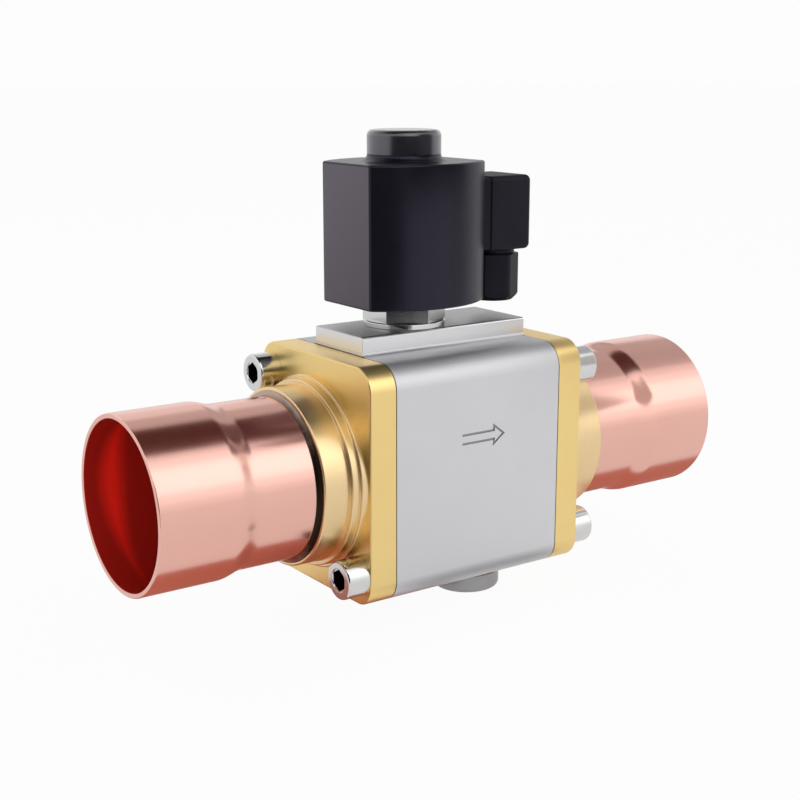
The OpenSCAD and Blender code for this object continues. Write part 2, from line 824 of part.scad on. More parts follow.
// Screwed-in pilot seat with a raised lip
module pilot_seat() {
    insert_r = pilot_insert_d / 2;
    color(steel) from_inlet()
    translate([x_pilot, 0, 0])
    difference() {
        union() {
            rod_z(z_channel + insert_up, z_pilot_floor + pilot_seat_h / 2, insert_r);
            cone_z(z_pilot_floor + pilot_seat_h / 2, z_pilot_lip, insert_r,
                pilot_seat_d / 2 + pilot_lip_w);
        }
        rod_z(z_channel - over, z_pilot_lip + over, pilot_seat_d / 2);
    }
}

pilot_lip_w = 0.6;

// Hexagon nut with a round collar and a threaded shank, which clamps the tube's foot
module tube_nut() {
    color(steel) from_inlet()
    translate([x_pilot, 0, 0])
    difference() {
        union() {
            rod_z(z_foot_top, z_top + over, nut_thread_d / 2);
            rod_z(z_top, z_nut_hex, nut_collar_d / 2);
            intersection() {
                hex_z(z_nut_hex - over, z_nut_top, nut_key);
                union() {
                    rod_z(z_nut_hex - over, z_nut_top - nut_crown, nut_key);
                    cone_z(z_nut_top - nut_crown, z_nut_top, nut_key / sqrt(3),
                        nut_key / 2);
                }
            }
        }
        rod_z(z_foot_top - over, z_nut_top + over, arm_r + snug);
    }
}

nut_crown = 1.2;

module armature_tube() {
    color(steel) from_inlet()
    translate([x_pilot, 0, 0])
    difference() {
        union() {
            rod_z(z_foot, z_arm_top, arm_r);
            rod_z(z_foot, z_foot_top, nut_thread_d / 2 - snug);
        }
        rod_z(z_foot - over, z_arm_top + over, arm_bore_r);
    }
}

module foot_seal() {
    color(soft_black) from_inlet()
    translate([x_pilot, 0, 0])
        pipe_z(z_pilot_step, z_foot, nut_thread_d / 2 - snug, pilot_r + snug);
}

// Fixed core in the tube's upper end, with the stud that carries the coil's nut
module fixed_core() {
    color(dark_steel) from_inlet()
    translate([x_pilot, 0, 0])
    difference() {
        union() {
            rod_z(z_core, z_arm_top, arm_bore_r - snug);
            rod_z(z_arm_top - over, z_arm_top + stud_h, stud_d / 2);
        }
        pipe_z(z_core - over, z_core + shading_h, shading_r, shading_r - shading_w);
    }
}

shading_h = 1.5;
shading_r = 4.6;
shading_w = 1.2;

module shading_ring() {
    color(copper) from_inlet()
    translate([x_pilot, 0, 0])
        pipe_z(z_core, z_core + shading_h - snug, shading_r - snug, shading_r - shading_w + snug);
}

// Plunger with the spring's pocket above and the seal's pocket below
module plunger() {
    neck = 1.5;
    color(dark_steel) from_inlet()
    translate([x_pilot, 0, 0])
    difference() {
        union() {
            rod_z(z_plunger + neck, z_plunger_top, plunger_r);
            cone_z(z_plunger, z_plunger + neck, plunger_r - neck / 2, plunger_r);
        }
        rod_z(z_plunger - over, z_plunger + plunger_seal_t - plunger_lift, plunger_seal_r);
        rod_z(z_plunger_top - pocket_depth, z_plunger_top + over, pocket_d / 2);
    }
}

plunger_seal_r = 2.8;

module plunger_seal() {
    color(soft_black) from_inlet()
    translate([x_pilot, 0, 0])
        rod_z(z_pilot_lip, z_plunger + plunger_seal_t - plunger_lift, plunger_seal_r - snug);
}

module plunger_spring() {
    z0 = z_plunger_top - pocket_depth + spring_seat;
    color(steel) from_inlet()
    translate([x_pilot, 0, z0])
        coil_spring(z_core - z0 - spring_seat, pocket_d - plunger_wire - pocket_play,
            plunger_wire, plunger_turns);
}

pocket_play = 0.6;

module coil_seal() {
    color(soft_black) from_inlet()
    translate([x_pilot, 0, 0]) pipe_z(z_nut_top, z_coil, arm_r + coil_seal_w, arm_r + snug);
}

coil_seal_w = 4;

// Moulded coil: two flat ends joined by bulging sides
module coil_prism() {
    translate([0, 0, z_coil]) intersection() {
        translate([-coil_len / 2, -coil_w / 2, 0]) cube([coil_len, coil_w, coil_h]);
        translate([0, coil_w / 2 - side_r, 0]) cylinder(h = coil_h, r = side_r);
        translate([0, side_r - coil_w / 2, 0]) cylinder(h = coil_h, r = side_r);
    }
}

// Moulding round the yoke and winding, with a flared ring for the cap
module coil_housing() {
    flare_r = 4;
    ring_r = cap_d / 2;
    flare = [for (i = [0:8]) let (a = 90 * i / 8)
        [ring_r + flare_r - flare_r * sin(a), z_coil_top + flare_h - flare_h * cos(a)]];
    color(black) from_inlet()
    translate([x_pilot, 0, 0])
    difference() {
        union() {
            coil_prism();
            rotate_extrude() polygon(concat([[0, z_coil_top - over],
                [ring_r + flare_r, z_coil_top - over]], flare, [[0, z_flare]]));
        }
        translate([-yoke_x - snug, -yoke_w / 2 - snug, z_yoke - snug])
            cube([2 * (yoke_x + snug), yoke_w + 2 * snug, z_yoke_top - z_yoke + 2 * snug]);
        rod_z(z_bobbin - snug, z_bobbin_top + snug, winding_r + bobbin_t + snug);
        rod_z(z_coil - over, z_flare + over, arm_r + snug);
        rod_z(z_yoke_top, z_flare + over, recess_r);
        for (p = blade_places)
            translate([coil_len / 2 - blade_root, p[0] - p[2] / 2 - snug, p[1] - p[3] / 2 - snug])
                cube([blade_root + over, p[2] + 2 * snug, p[3] + 2 * snug]);
        translate([0, 0, z_box_mid])
            rod_x(coil_len / 2 - blade_root, coil_len / 2 + over, plug_screw_d / 2 + snug);
    }
}

blade_root = 2.4;
blade_places = [
    [-blade_pitch / 2, z_box_mid, blade_t, blade_w],
    [blade_pitch / 2, z_box_mid, blade_t, blade_w],
    [0, z_box_mid - blade_pitch / 2, blade_w, blade_t]];

// Steel frame that closes the magnetic circle round the winding
module magnet_yoke() {
    color(dark_steel) from_inlet()
    translate([x_pilot, 0, 0])
    difference() {
        translate([-yoke_x, -yoke_w / 2, z_yoke])
            cube([2 * yoke_x, yoke_w, z_yoke_top - z_yoke]);
        translate([-yoke_x + yoke_t, -yoke_w / 2 - over, z_bobbin])
            cube([2 * (yoke_x - yoke_t), yoke_w + 2 * over, z_bobbin_top - z_bobbin]);
        rod_z(z_yoke - over, z_yoke_top + over, arm_r + snug);
    }
}

module coil_bobbin() {
    color(white) from_inlet()
    translate([x_pilot, 0, 0])
    difference() {
        union() {
            rod_z(z_bobbin, z_bobbin_top, arm_r + snug + bobbin_t);
            for (z = [z_bobbin, z_bobbin_top - bobbin_t])
                rod_z(z, z + bobbin_t, winding_r + bobbin_t);
        }
        rod_z(z_bobbin - over, z_bobbin_top + over, arm_r + snug);
    }
}

module coil_winding() {
    color(copper) from_inlet()
    translate([x_pilot, 0, 0])
        pipe_z(z_bobbin + bobbin_t, z_bobbin_top - bobbin_t, winding_r,
            arm_r + bobbin_t + 2 * snug);
}

// Nut that holds the coil down on the yoke
module lock_nut() {
    color(steel) from_inlet()
    translate([x_pilot, 0, 0])
    difference() {
        hex_z(z_arm_top, z_arm_top + lock_h, lock_key);
        rod_z(z_arm_top - over, z_arm_top + lock_h + over, stud_d / 2 + snug);
    }
}

// Black screw cap over the nut, with a rounded top edge
module coil_cap() {
    r = cap_d / 2;
    z1 = z_flare + cap_h;
    arc = [for (i = [0:8]) let (a = 90 * i / 8)
        [r - cap_round + cap_round * cos(a), z1 - cap_round + cap_round * sin(a)]];
    color(black) from_inlet()
    translate([x_pilot, 0, 0])
    difference() {
        union() {
            rotate_extrude() polygon(concat([[0, z_flare], [r, z_flare]], arc, [[0, z1]]));
            rod_z(z_flare - recess_depth, z_flare + over, recess_r - snug);
        }
        rod_z(z_flare - recess_depth - over, z1 - cap_wall, cap_in_r);
        pipe_z(z_flare - over, z_flare + cap_seal_t, cap_seal_out + snug, cap_seal_in - snug);
    }
}

cap_in_r = 8.6;
cap_seal_t = 1.2;
cap_seal_in = 11.5;
cap_seal_out = 13.5;

module cap_seal() {
    color(soft_black) from_inlet()
    translate([x_pilot, 0, 0])
        pipe_z(z_flare, z_flare + cap_seal_t - snug, cap_seal_out, cap_seal_in);
}

// Three flat blades that stand out of the coil's end
module terminal_blades() {
    color(steel) from_inlet()
    translate([x_pilot, 0, 0])
    for (p = blade_places)
        translate([coil_len / 2 - blade_root, p[0] - p[2] / 2, p[1] - p[3] / 2])
            cube([blade_root + plug_gasket_t + blade_len, p[2], p[3]]);
}

module box_yz(x0, x1, half_w, z0, z1) {
    translate([x0, -half_w, z0]) cube([x1 - x0, 2 * half_w, z1 - z0]);
}

// Square gasket between the coil and the connector
module connector_gasket() {
    color(soft_black) from_inlet()
    difference() {
        box_yz(x_coil_end, x_box, plug_box_w / 2 - plug_step, z_box + plug_step,
            z_box_top - plug_step);
        translate([x_pilot, 0, 0])
            for (p = blade_places)
                translate([coil_len / 2 - over, p[0] - p[2] / 2 - snug, p[1] - p[3] / 2 - snug])
                    cube([plug_gasket_t + 2 * over, p[2] + 2 * snug, p[3] + 2 * snug]);
        translate([0, 0, z_box_mid])
            rod_x(x_coil_end - over, x_box + over, plug_screw_d / 2 + snug);
    }
}

// Upright block with rounded upright and outer edges
module soft_box(x0, x1, half_w, z0, z1, r) {
    hull()
        for (sy = [-1, 1], z = [z0 + r, z1 - r]) {
            translate([x1 - r, sy * (half_w - r), z]) sphere(r = r, $fn = 24);
            translate([x0, sy * (half_w - r), z]) rod_x(0, r, r, $fn = 24);
        }
}

// Connector housing: a base, a slightly larger cover, and the gland's neck
module connector_housing() {
    wall = plug_box_wall;
    half = plug_box_w / 2;
    color(black) from_inlet()
    difference() {
        union() {
            box_yz(x_box, x_box + plug_base_len, half - plug_step, z_box + plug_step,
                z_box_top - plug_step);
            soft_box(x_box + plug_base_len - plug_step, x_box_end, half, z_box, z_box_top,
                plug_box_round);
            translate([x_gland, 0, 0]) {
                rod_z(z_gland_top - neck_len, z_box + over, gland_thread_d / 2);
                rod_z(z_gland_top + nut_gap, z_box + over, gland_thread_d / 2 + neck_step);
            }
        }
        box_yz(x_box - over, x_box_end - wall, half - wall - plug_step, z_box + wall + plug_step,
            z_box_top - wall - plug_step);
        translate([x_gland, 0, 0])
            rod_z(z_gland_top - neck_len - over, z_box + wall + 2 * over, gland_bore_r);
        translate([0, 0, z_box_mid]) {
            rod_x(x_box_end - wall - over, x_box_end + over, plug_screw_d / 2 + snug);
            rod_x(x_box_end - screw_sink, x_box_end + over, plug_head_r + snug);
        }
    }
}

neck_len = 8;
neck_step = 1.2;
nut_gap = 0.4;
gland_bore_r = 5.6;
screw_sink = 0.8;
plug_head_r = 3.2;

// Block that holds the cable's wires on the blades
module terminal_block() {
    wall = plug_box_wall;
    half = plug_box_w / 2 - wall - plug_step - block_play;
    color(soft_black) from_inlet()
    difference() {
        box_yz(x_box, x_box + blade_len + block_over, half, z_box + wall + plug_step + block_play,
            z_box_top - wall - plug_step - block_play);
        translate([x_pilot, 0, 0])
            for (p = blade_places)
                translate([coil_len / 2, p[0] - p[2] / 2 - snug, p[1] - p[3] / 2 - snug])
                    cube([plug_gasket_t + blade_len + snug, p[2] + 2 * snug, p[3] + 2 * snug]);
        translate([0, 0, z_box_mid])
            rod_x(x_box - over, x_box + blade_len + block_over + over, plug_screw_d / 2 + snug);
    }
}

block_play = 0.15;
block_over = 3;

module connector_screw() {
    x_seat = x_box_end - screw_sink;
    color(steel) from_inlet()
    translate([0, 0, z_box_mid])
    difference() {
        union() {
            rod_x(x_coil_end - blade_root + snug, x_seat + over, plug_screw_d / 2);
            rod_x(x_seat, x_seat + head_h, plug_head_r);
        }
        translate([x_seat + head_h - slot_depth, -plug_head_r - over, -slot_w / 2])
            cube([slot_depth + over, 2 * (plug_head_r + over), slot_w]);
    }
}

head_h = 2;
slot_depth = 1;
slot_w = 0.8;

// Gland nut under the connector, bevelled at its lower end
module gland_nut() {
    bevel = 2.6;
    corner = gland_key / sqrt(3);
    color(black) from_inlet()
    translate([x_gland, 0, 0])
    difference() {
        intersection() {
            hex_z(z_gland, z_gland_top, gland_key);
            union() {
                cone_z(z_gland, z_gland + bevel, corner - bevel, corner);
                rod_z(z_gland + bevel, z_gland_top, corner);
            }
        }
        rod_z(z_gland - over, z_gland_top + over, cable_d / 2);
        rod_z(z_gland + gland_floor, z_gland_top + over, gland_thread_d / 2 + snug);
    }
}

gland_floor = 3;

module gland_seal() {
    z0 = z_gland + gland_floor + washer_t;
    color(soft_black) from_inlet()
    translate([x_gland, 0, 0])
        pipe_z(z0, z_gland_top - neck_len, gland_thread_d / 2 - seal_play, cable_d / 2 + cable_play);
}

washer_t = 1;
washer_play = 0.2;
seal_play = 0.4;
cable_play = 0.1;

module gland_washer() {
    color(steel) from_inlet()
    translate([x_gland, 0, 0])
        pipe_z(z_gland + gland_floor, z_gland + gland_floor + washer_t,
            gland_thread_d / 2 - washer_play, cable_d / 2 + cable_play);
}

valve_body();
inlet_flange();
outlet_flange();
inlet_stub();
outlet_stub();
inlet_braze();
outlet_braze();
inlet_gasket();
outlet_gasket();
inlet_screws();
outlet_screws();
piston_guide();
seat_ring();
piston();
piston_rings();
seat_disc();
disc_retainer();
piston_spring();
bottom_plug();
plug_washer();
channel_plug();
pilot_seat();
tube_nut();
armature_tube();
foot_seal();
fixed_core();
shading_ring();
plunger();
plunger_seal();
plunger_spring();
coil_seal();
coil_housing();
magnet_yoke();
coil_bobbin();
coil_winding();
lock_nut();
cap_seal();
coil_cap();
terminal_blades();
connector_gasket();
connector_housing();
terminal_block();
connector_screw();
gland_nut();
gland_seal();
gland_washer();
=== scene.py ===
import math

import bmesh
import bpy
from mathutils import Matrix, Vector


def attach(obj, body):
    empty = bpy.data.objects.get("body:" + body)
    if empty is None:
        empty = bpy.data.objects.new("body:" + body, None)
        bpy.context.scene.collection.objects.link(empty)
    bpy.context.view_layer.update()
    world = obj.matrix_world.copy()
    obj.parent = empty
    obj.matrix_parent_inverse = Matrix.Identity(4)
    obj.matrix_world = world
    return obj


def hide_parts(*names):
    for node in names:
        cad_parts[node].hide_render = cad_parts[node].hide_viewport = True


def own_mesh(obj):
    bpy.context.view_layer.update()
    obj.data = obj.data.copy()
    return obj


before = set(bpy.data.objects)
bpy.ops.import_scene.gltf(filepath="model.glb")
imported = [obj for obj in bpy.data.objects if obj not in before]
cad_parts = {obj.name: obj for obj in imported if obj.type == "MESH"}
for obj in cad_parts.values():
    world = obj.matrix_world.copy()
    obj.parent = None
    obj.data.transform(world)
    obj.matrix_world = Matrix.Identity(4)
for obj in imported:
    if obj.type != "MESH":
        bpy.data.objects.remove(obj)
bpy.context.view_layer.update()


# Valve block: forged in a light alloy, its faces blasted satin. A rib runs along the top and
# the bottom. It is bored through for the piston, from above for the pilot valve and from
# below for the plug, and a flow arrow is engraved on one side.

MM = 0.001
MIDDLE = 141.0      # from the inlet socket's mouth to the block's middle, where x is 0 below
OPEN = 1.0          # how far a cut runs past the face that it opens
CLOSE = 0.01        # how near to its place a picked edge has to lie

BLOCK = 41.85       # half its length
SIDE = 41.3         # half its width
DECK = 48.7         # half its height, without the ribs
RIB = 17.5          # half the width of a rib
RIB_TOP = 56.6
EDGE = 10.0         # radius of the four long edges
PILOT = -9.1        # the axis of the pilot valve and its coil
PLUG = 25.0         # the axis of the bottom plug
CHANNEL = 41.0      # height of the return drilling
SCREW_Y, SCREW_Z = 32.8, 36.2
INLET_CORNERS = [(1, 1), (-1, -1), (1, -1)]
OUTLET_CORNERS = [(1, 1), (-1, 1), (-1, -1), (1, -1)]


def spot(x, y, z):
    return Vector(((MIDDLE + x) * MM, y * MM, z * MM))


def alone(piece):
    if bpy.context.mode != "OBJECT":
        bpy.ops.object.mode_set(mode="OBJECT")
    bpy.ops.object.select_all(action="DESELECT")
    piece.select_set(True)
    bpy.context.view_layer.objects.active = piece


def nothing_selected():
    if bpy.context.mode != "OBJECT":
        bpy.ops.object.mode_set(mode="OBJECT")
    bpy.ops.object.select_all(action="DESELECT")


def placed(name):
    piece = bpy.context.object
    piece.name = name
    bpy.ops.object.transform_apply(location=True, rotation=True, scale=True)
    return piece


def slab(name, low, high):
    """A rectangular blank between two corners in millimetres."""
    nothing_selected()
    a, b = spot(*low), spot(*high)
    bpy.ops.mesh.primitive_cube_add(size=1, location=(a + b) / 2, scale=b - a)
    return placed(name)


def bar(name, start, end, radius, sides=96):
    """A round or many-sided blank from one point to another."""
    nothing_selected()
    a, b = spot(*start), spot(*end)
    bpy.ops.mesh.primitive_cylinder_add(
        vertices=sides, radius=radius * MM, depth=(b - a).length, location=(a + b) / 2,
        rotation=(b - a).to_track_quat("Z", "Y").to_euler())
    return placed(name)


def edit(piece, mode="EDGE"):
    alone(piece)
    bpy.ops.object.mode_set(mode="EDIT")
    bpy.ops.mesh.select_mode(type=mode)
    bpy.ops.mesh.select_all(action="DESELECT")


def done():
    bpy.ops.object.mode_set(mode="OBJECT")


def pick(kind, test):
    """Selects the edges or faces in edit mode whose middle and direction pass the test. Both
    are given from the block's middle, in millimetres."""
    mesh = bpy.context.object.data
    shape = bmesh.from_edit_mesh(mesh)
    for item in [*shape.verts, *shape.edges, *shape.faces]:
        item.select = False
    for item in list(getattr(shape, kind)):
        mid = sum((v.co for v in item.verts), Vector()) / len(item.verts) / MM
        mid.x -= MIDDLE
        if kind == "faces":
            way = item.normal
        else:
            way = (item.verts[1].co - item.verts[0].co).normalized()
        if test(mid, way):
            item.select_set(True)
    bmesh.update_edit_mesh(mesh)


def ease(width, steps):
    bpy.ops.mesh.bevel(offset=width * MM, offset_type="OFFSET", segments=steps, affect="EDGES",
                       clamp_overlap=False)


def modify(piece, kind, **settings):
    alone(piece)
    step = piece.modifiers.new("step", kind)
    for key, value in settings.items():
        setattr(step, key, value)
    bpy.ops.object.modifier_apply(modifier=step.name)


def cut(piece, *tools, how="DIFFERENCE"):
    for tool in tools:
        modify(piece, "BOOLEAN", operation=how, object=tool, solver="EXACT")
        bpy.data.objects.remove(tool)


def smooth(piece, angle=32):
    alone(piece)
    bpy.ops.object.shade_smooth_by_angle(angle=math.radians(angle))
    modify(piece, "WEIGHTED_NORMAL", keep_sharp=True, weight=60)


def fillet(corners, steps=6):
    """Points of a line whose corners (u, v, radius) are rounded."""
    points = []
    for i, (u, v, radius) in enumerate(corners):
        here = Vector((u, v))
        if not radius:
            points.append(here)
            continue
        back = (Vector(corners[i - 1][:2]) - here).normalized()
        ahead = (Vector(corners[(i + 1) % len(corners)][:2]) - here).normalized()
        half = back.angle(ahead) / 2
        centre = here + (back + ahead).normalized() * radius / math.sin(half)
        a = here + back * radius / math.tan(half) - centre
        b = here + ahead * radius / math.tan(half) - centre
        turn = a.angle_signed(b)
        for k in range(steps + 1):
            points.append(centre + Matrix.Rotation(-turn * k / steps, 2) @ a)
    return points


def draw(name, points):
    """A line drawn by pushing one point out from corner to corner, left open for editing."""
    nothing_selected()
    bpy.ops.mesh.primitive_plane_add(size=MM, location=(0, 0, 0))
    piece = bpy.context.object
    piece.name = name
    bpy.ops.object.mode_set(mode="EDIT")
    bpy.ops.mesh.select_mode(type="VERT")
    bpy.ops.mesh.select_all(action="SELECT")
    bpy.ops.mesh.merge(type="CENTER")
    bpy.ops.transform.translate(value=points[0])
    for a, b in zip(points, points[1:]):
        bpy.ops.mesh.extrude_region_move(TRANSFORM_OT_translate={"value": b - a})
    bpy.ops.mesh.select_all(action="SELECT")
    return piece


def turned(name, profile, upright_at=None, steps=128):
    """A profile of (along, radius), spun round the flow axis or an upright one."""
    if upright_at is None:
        points, centre, axis = [spot(a, -r, 0) for a, r in profile], spot(0, 0, 0), (1, 0, 0)
    else:
        points = [spot(upright_at + r, 0, a) for a, r in profile]
        centre, axis = spot(upright_at, 0, 0), (0, 0, 1)
    if profile[0][1] > 0 or profile[-1][1] > 0:
        points.append(points[0])
    piece = draw(name, points)
    bpy.ops.mesh.remove_doubles(threshold=1e-7)
    bpy.ops.mesh.spin(steps=steps, angle=math.tau, center=centre, axis=axis)
    bpy.ops.mesh.select_all(action="SELECT")
    bpy.ops.mesh.remove_doubles(threshold=1e-6)
    bpy.ops.mesh.normals_make_consistent(inside=False)
    done()
    return piece


def pressed(name, points, push):
    """A closed outline, filled and pushed out into a solid."""
    piece = draw(name, points)
    bpy.ops.mesh.edge_face_add()
    bpy.ops.mesh.extrude_region_move(TRANSFORM_OT_translate={"value": Vector(push) * MM})
    bpy.ops.mesh.select_all(action="SELECT")
    bpy.ops.mesh.normals_make_consistent(inside=False)
    done()
    return piece


class Wire:
    """The output of a node. Sums on it add the Math nodes that they need."""

    def __init__(self, tree, socket):
        self.tree, self.socket = tree, socket

    def maths(self, operation, *terms):
        node = self.tree.nodes.new("ShaderNodeMath")
        node.operation = operation
        for slot, term in zip(node.inputs, terms):
            if isinstance(term, Wire):
                self.tree.links.new(term.socket, slot)
            else:
                slot.default_value = term
        return Wire(self.tree, node.outputs[0])

    def __add__(self, other):
        return self.maths("ADD", self, other)

    def __radd__(self, other):
        return self.maths("ADD", other, self)

    def __sub__(self, other):
        return self.maths("SUBTRACT", self, other)

    def __rsub__(self, other):
        return self.maths("SUBTRACT", other, self)

    def __mul__(self, other):
        return self.maths("MULTIPLY", self, other)

    def __rmul__(self, other):
        return self.maths("MULTIPLY", other, self)

    def __truediv__(self, other):
        return self.maths("DIVIDE", self, other)

    def __pow__(self, other):
        return self.maths("POWER", self, other)

    def __gt__(self, other):
        return self.maths("GREATER_THAN", self, other)

    def __lt__(self, other):
        return self.maths("LESS_THAN", self, other)

    def __abs__(self):
        return self.maths("ABSOLUTE", self)


class Finish:
    """A material under work, with the place on the piece in millimetres from the block's
    middle as wires x, y and z."""

    def __init__(self, name, **constants):
        self.material = bpy.data.materials.new(name)
        self.material.use_nodes = True
        self.tree = self.material.node_tree
        self.shader = self.tree.nodes["Principled BSDF"]
        for socket, value in constants.items():
            self.shader.inputs[socket.replace("_", " ")].default_value = value
        self.place = self.node("ShaderNodeTexCoord", {}, {}, "Object")
        split = self.node("ShaderNodeSeparateXYZ", {}, {"Vector": self.place}, "X")
        axes = [Wire(self.tree, out) for out in split.socket.node.outputs]
        self.x, self.y, self.z = axes[0] / MM - MIDDLE, axes[1] / MM, axes[2] / MM

    def node(self, kind, settings, values, out=0):
        node = self.tree.nodes.new(kind)
        for key, value in settings.items():
            if key == "stops":
                ramp = node.color_ramp.elements
                while len(ramp) < len(value):
                    ramp.new(0.5)
                for stop, (place, colour) in zip(ramp, value):
                    stop.position, stop.color = place, colour
            else:
                setattr(node, key, value)
        for socket, value in values.items():
            if isinstance(value, Wire):
                self.tree.links.new(value.socket, node.inputs[socket])
            else:
                node.inputs[socket].default_value = value
        return Wire(self.tree, node.outputs[out])

    def grain(self, scale, detail=2.0, stretch=(1, 1, 1)):
        """Noise whose grains are 1 / scale millimetres wide."""
        place = self.node("ShaderNodeVectorMath", {"operation": "MULTIPLY"},
                          {0: self.place, 1: Vector(stretch) / MM})
        return self.node("ShaderNodeTexNoise", {},
                         {"Vector": place, "Scale": scale, "Detail": detail, "Roughness": 0.55})

    def blend(self, mask, a, b):
        return self.node("ShaderNodeMix", {"data_type": "RGBA", "clamp_factor": True},
                         {0: mask, 6: a, 7: b}, 2)

    def feed(self, **wires):
        for socket, wire in wires.items():
            self.tree.links.new(wire.socket, self.shader.inputs[socket.replace("_", " ")])
        return self

    def raised(self, height, depth):
        """Relief: the height wire runs from 0 to 1, and depth is in millimetres."""
        return self.feed(Normal=self.node("ShaderNodeBump", {}, {
            "Strength": 1.0, "Distance": depth * MM, "Height": height}))

    def shared(self, share, other):
        """Lets another shader show through by the given share."""
        both = self.node("ShaderNodeMixShader", {}, {
            0: share, 1: Wire(self.tree, self.shader.outputs[0]), 2: other})
        self.tree.links.new(both.socket, self.tree.nodes["Material Output"].inputs[0])


def grey(value, tint=(1.0, 1.0, 1.0)):
    return tuple(value * t for t in tint) + (1.0,)


def dress(piece, node, finish, body="valve"):
    """Gives a piece its finish, and puts it in the place of its node."""
    piece.data.materials.clear()
    piece.data.materials.append(finish.material)
    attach(piece, body)
    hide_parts(node)


block = slab("valve_block", (-BLOCK, -SIDE, -DECK), (BLOCK, SIDE, DECK))
edit(block)
pick("edges", lambda mid, way: abs(way.x) > 0.9)
ease(EDGE, 12)
for y in (-RIB, RIB):
    bpy.ops.mesh.select_all(action="SELECT")
    bpy.ops.mesh.bisect(plane_co=spot(0, y, 0), plane_no=(0, 1, 0))
bpy.ops.mesh.select_mode(type="FACE")
for side in (1, -1):
    pick("faces", lambda mid, way: way.z * side > 0.9 and abs(mid.y) < RIB
         and mid.z * side > DECK - 0.5)
    bpy.ops.mesh.extrude_region_move(
        TRANSFORM_OT_translate={"value": (0, 0, side * (RIB_TOP - DECK) * MM)})
bpy.ops.mesh.select_mode(type="EDGE")
pick("edges", lambda mid, way: abs(way.x) > 0.9 and abs(abs(mid.y) - RIB) < CLOSE
     and abs(mid.z) > RIB_TOP - 0.1)
ease(1.2, 4)
pick("edges", lambda mid, way: abs(way.x) > 0.9 and abs(abs(mid.y) - RIB) < CLOSE
     and abs(abs(mid.z) - DECK) < 0.1)
ease(1.6, 5)
pick("edges", lambda mid, way: abs(abs(mid.x) - BLOCK) < CLOSE and abs(way.x) < 0.1)
ease(0.3, 2)
done()

GASKET, RECESS = 38.1, 1.5                  # radius and depth of the gaskets' recesses
BORE, SHOULDER = 35.0, 20.0                 # for the piston's guide, up to the main seat
CHAMBER, CHAMBER_MOUTH = 30.0, 31.2         # radii behind the main seat
cut(block, turned("main_bore", fillet([
    (-BLOCK - OPEN, 0, 0), (-BLOCK - OPEN, GASKET, 0), (-BLOCK + RECESS, GASKET, 0),
    (-BLOCK + RECESS, BORE, 0), (SHOULDER, BORE, 0), (SHOULDER, CHAMBER, 0),
    (BLOCK - 4, CHAMBER, 0), (BLOCK - RECESS, CHAMBER_MOUTH, 0), (BLOCK - RECESS, GASKET, 0),
    (BLOCK + OPEN, GASKET, 0), (BLOCK + OPEN, 0, 0)])))
NOZZLE, FOOT, NUT_THREAD = 3.55, 9.5, 11.55     # radii for the pilot seat, tube foot and nut
PILOT_FLOOR, NUT_END = 45.0, 49.0
cut(block, turned("pilot_bore", [
    (CHANNEL + 1, 0), (CHANNEL + 1, NOZZLE), (PILOT_FLOOR, NOZZLE), (PILOT_FLOOR, FOOT),
    (NUT_END, FOOT), (NUT_END, NUT_THREAD), (RIB_TOP + OPEN, NUT_THREAD), (RIB_TOP + OPEN, 0)],
    upright_at=PILOT))
PLUG_THREAD, PLUG_END = 10.05, -42.6
DRAIN, DRAIN_END = 5.0, -28.0
cut(block, turned("plug_bore", [
    (-RIB_TOP - OPEN, 0), (-RIB_TOP - OPEN, PLUG_THREAD), (PLUG_END, PLUG_THREAD),
    (PLUG_END, DRAIN), (DRAIN_END, DRAIN), (DRAIN_END, 0)], upright_at=PLUG))
DRILL, STOPPER = 1.5, 2.05                  # radii of the drillings and of the channel's plug
FEED, FEED_LOW, FEED_TOP = PILOT - 7.95, 34.0, 46.0
RETURN_LOW = 29.0
cut(block, bar("feed", (FEED, 0, FEED_LOW), (FEED, 0, FEED_TOP), DRILL, sides=32),
    bar("return", (PILOT - 3, 0, CHANNEL), (BLOCK + OPEN, 0, CHANNEL), DRILL, sides=32),
    bar("return_mouth", (BLOCK - 5, 0, CHANNEL), (BLOCK + OPEN, 0, CHANNEL), STOPPER, sides=32),
    bar("return_down", (PLUG, 0, RETURN_LOW), (PLUG, 0, CHANNEL), DRILL, sides=32))
SCREW_BORE, SCREW_DEPTH = 5.05, 20.0
for end, corners in ((-1, INLET_CORNERS), (1, OUTLET_CORNERS)):
    for y, z in corners:
        cut(block, bar("screw_bore", (end * (BLOCK - SCREW_DEPTH), y * SCREW_Y, z * SCREW_Z),
                       (end * (BLOCK + OPEN), y * SCREW_Y, z * SCREW_Z), SCREW_BORE, sides=48))

ARROW_X, ARROW_Z = 1.65, 14.7               # its middle
ARROW_HALF, ARROW_HEAD, ARROW_TALL = 11, 6.2, 4.75
SHAFT, LINE = 2.3, 0.95                     # half the shaft's width, and the line's width
ARROW_DEPTH = 0.5
neck = ARROW_HALF - ARROW_HEAD
arrow = [(-ARROW_HALF, SHAFT), (neck, SHAFT), (neck, ARROW_TALL), (ARROW_HALF, 0),
         (neck, -ARROW_TALL), (neck, -SHAFT), (-ARROW_HALF, -SHAFT), (-ARROW_HALF, LINE - SHAFT),
         (neck + LINE, LINE - SHAFT), (neck + LINE, 2 * LINE - ARROW_TALL),
         (ARROW_HALF - 1.6 * LINE, 0), (neck + LINE, ARROW_TALL - 2 * LINE),
         (neck + LINE, SHAFT - LINE), (-ARROW_HALF, SHAFT - LINE)]
cut(block, pressed("arrow", [spot(ARROW_X + x, -SIDE - OPEN, ARROW_Z + z) for x, z in arrow],
                   (0, OPEN + ARROW_DEPTH, 0)))
smooth(block, 20)

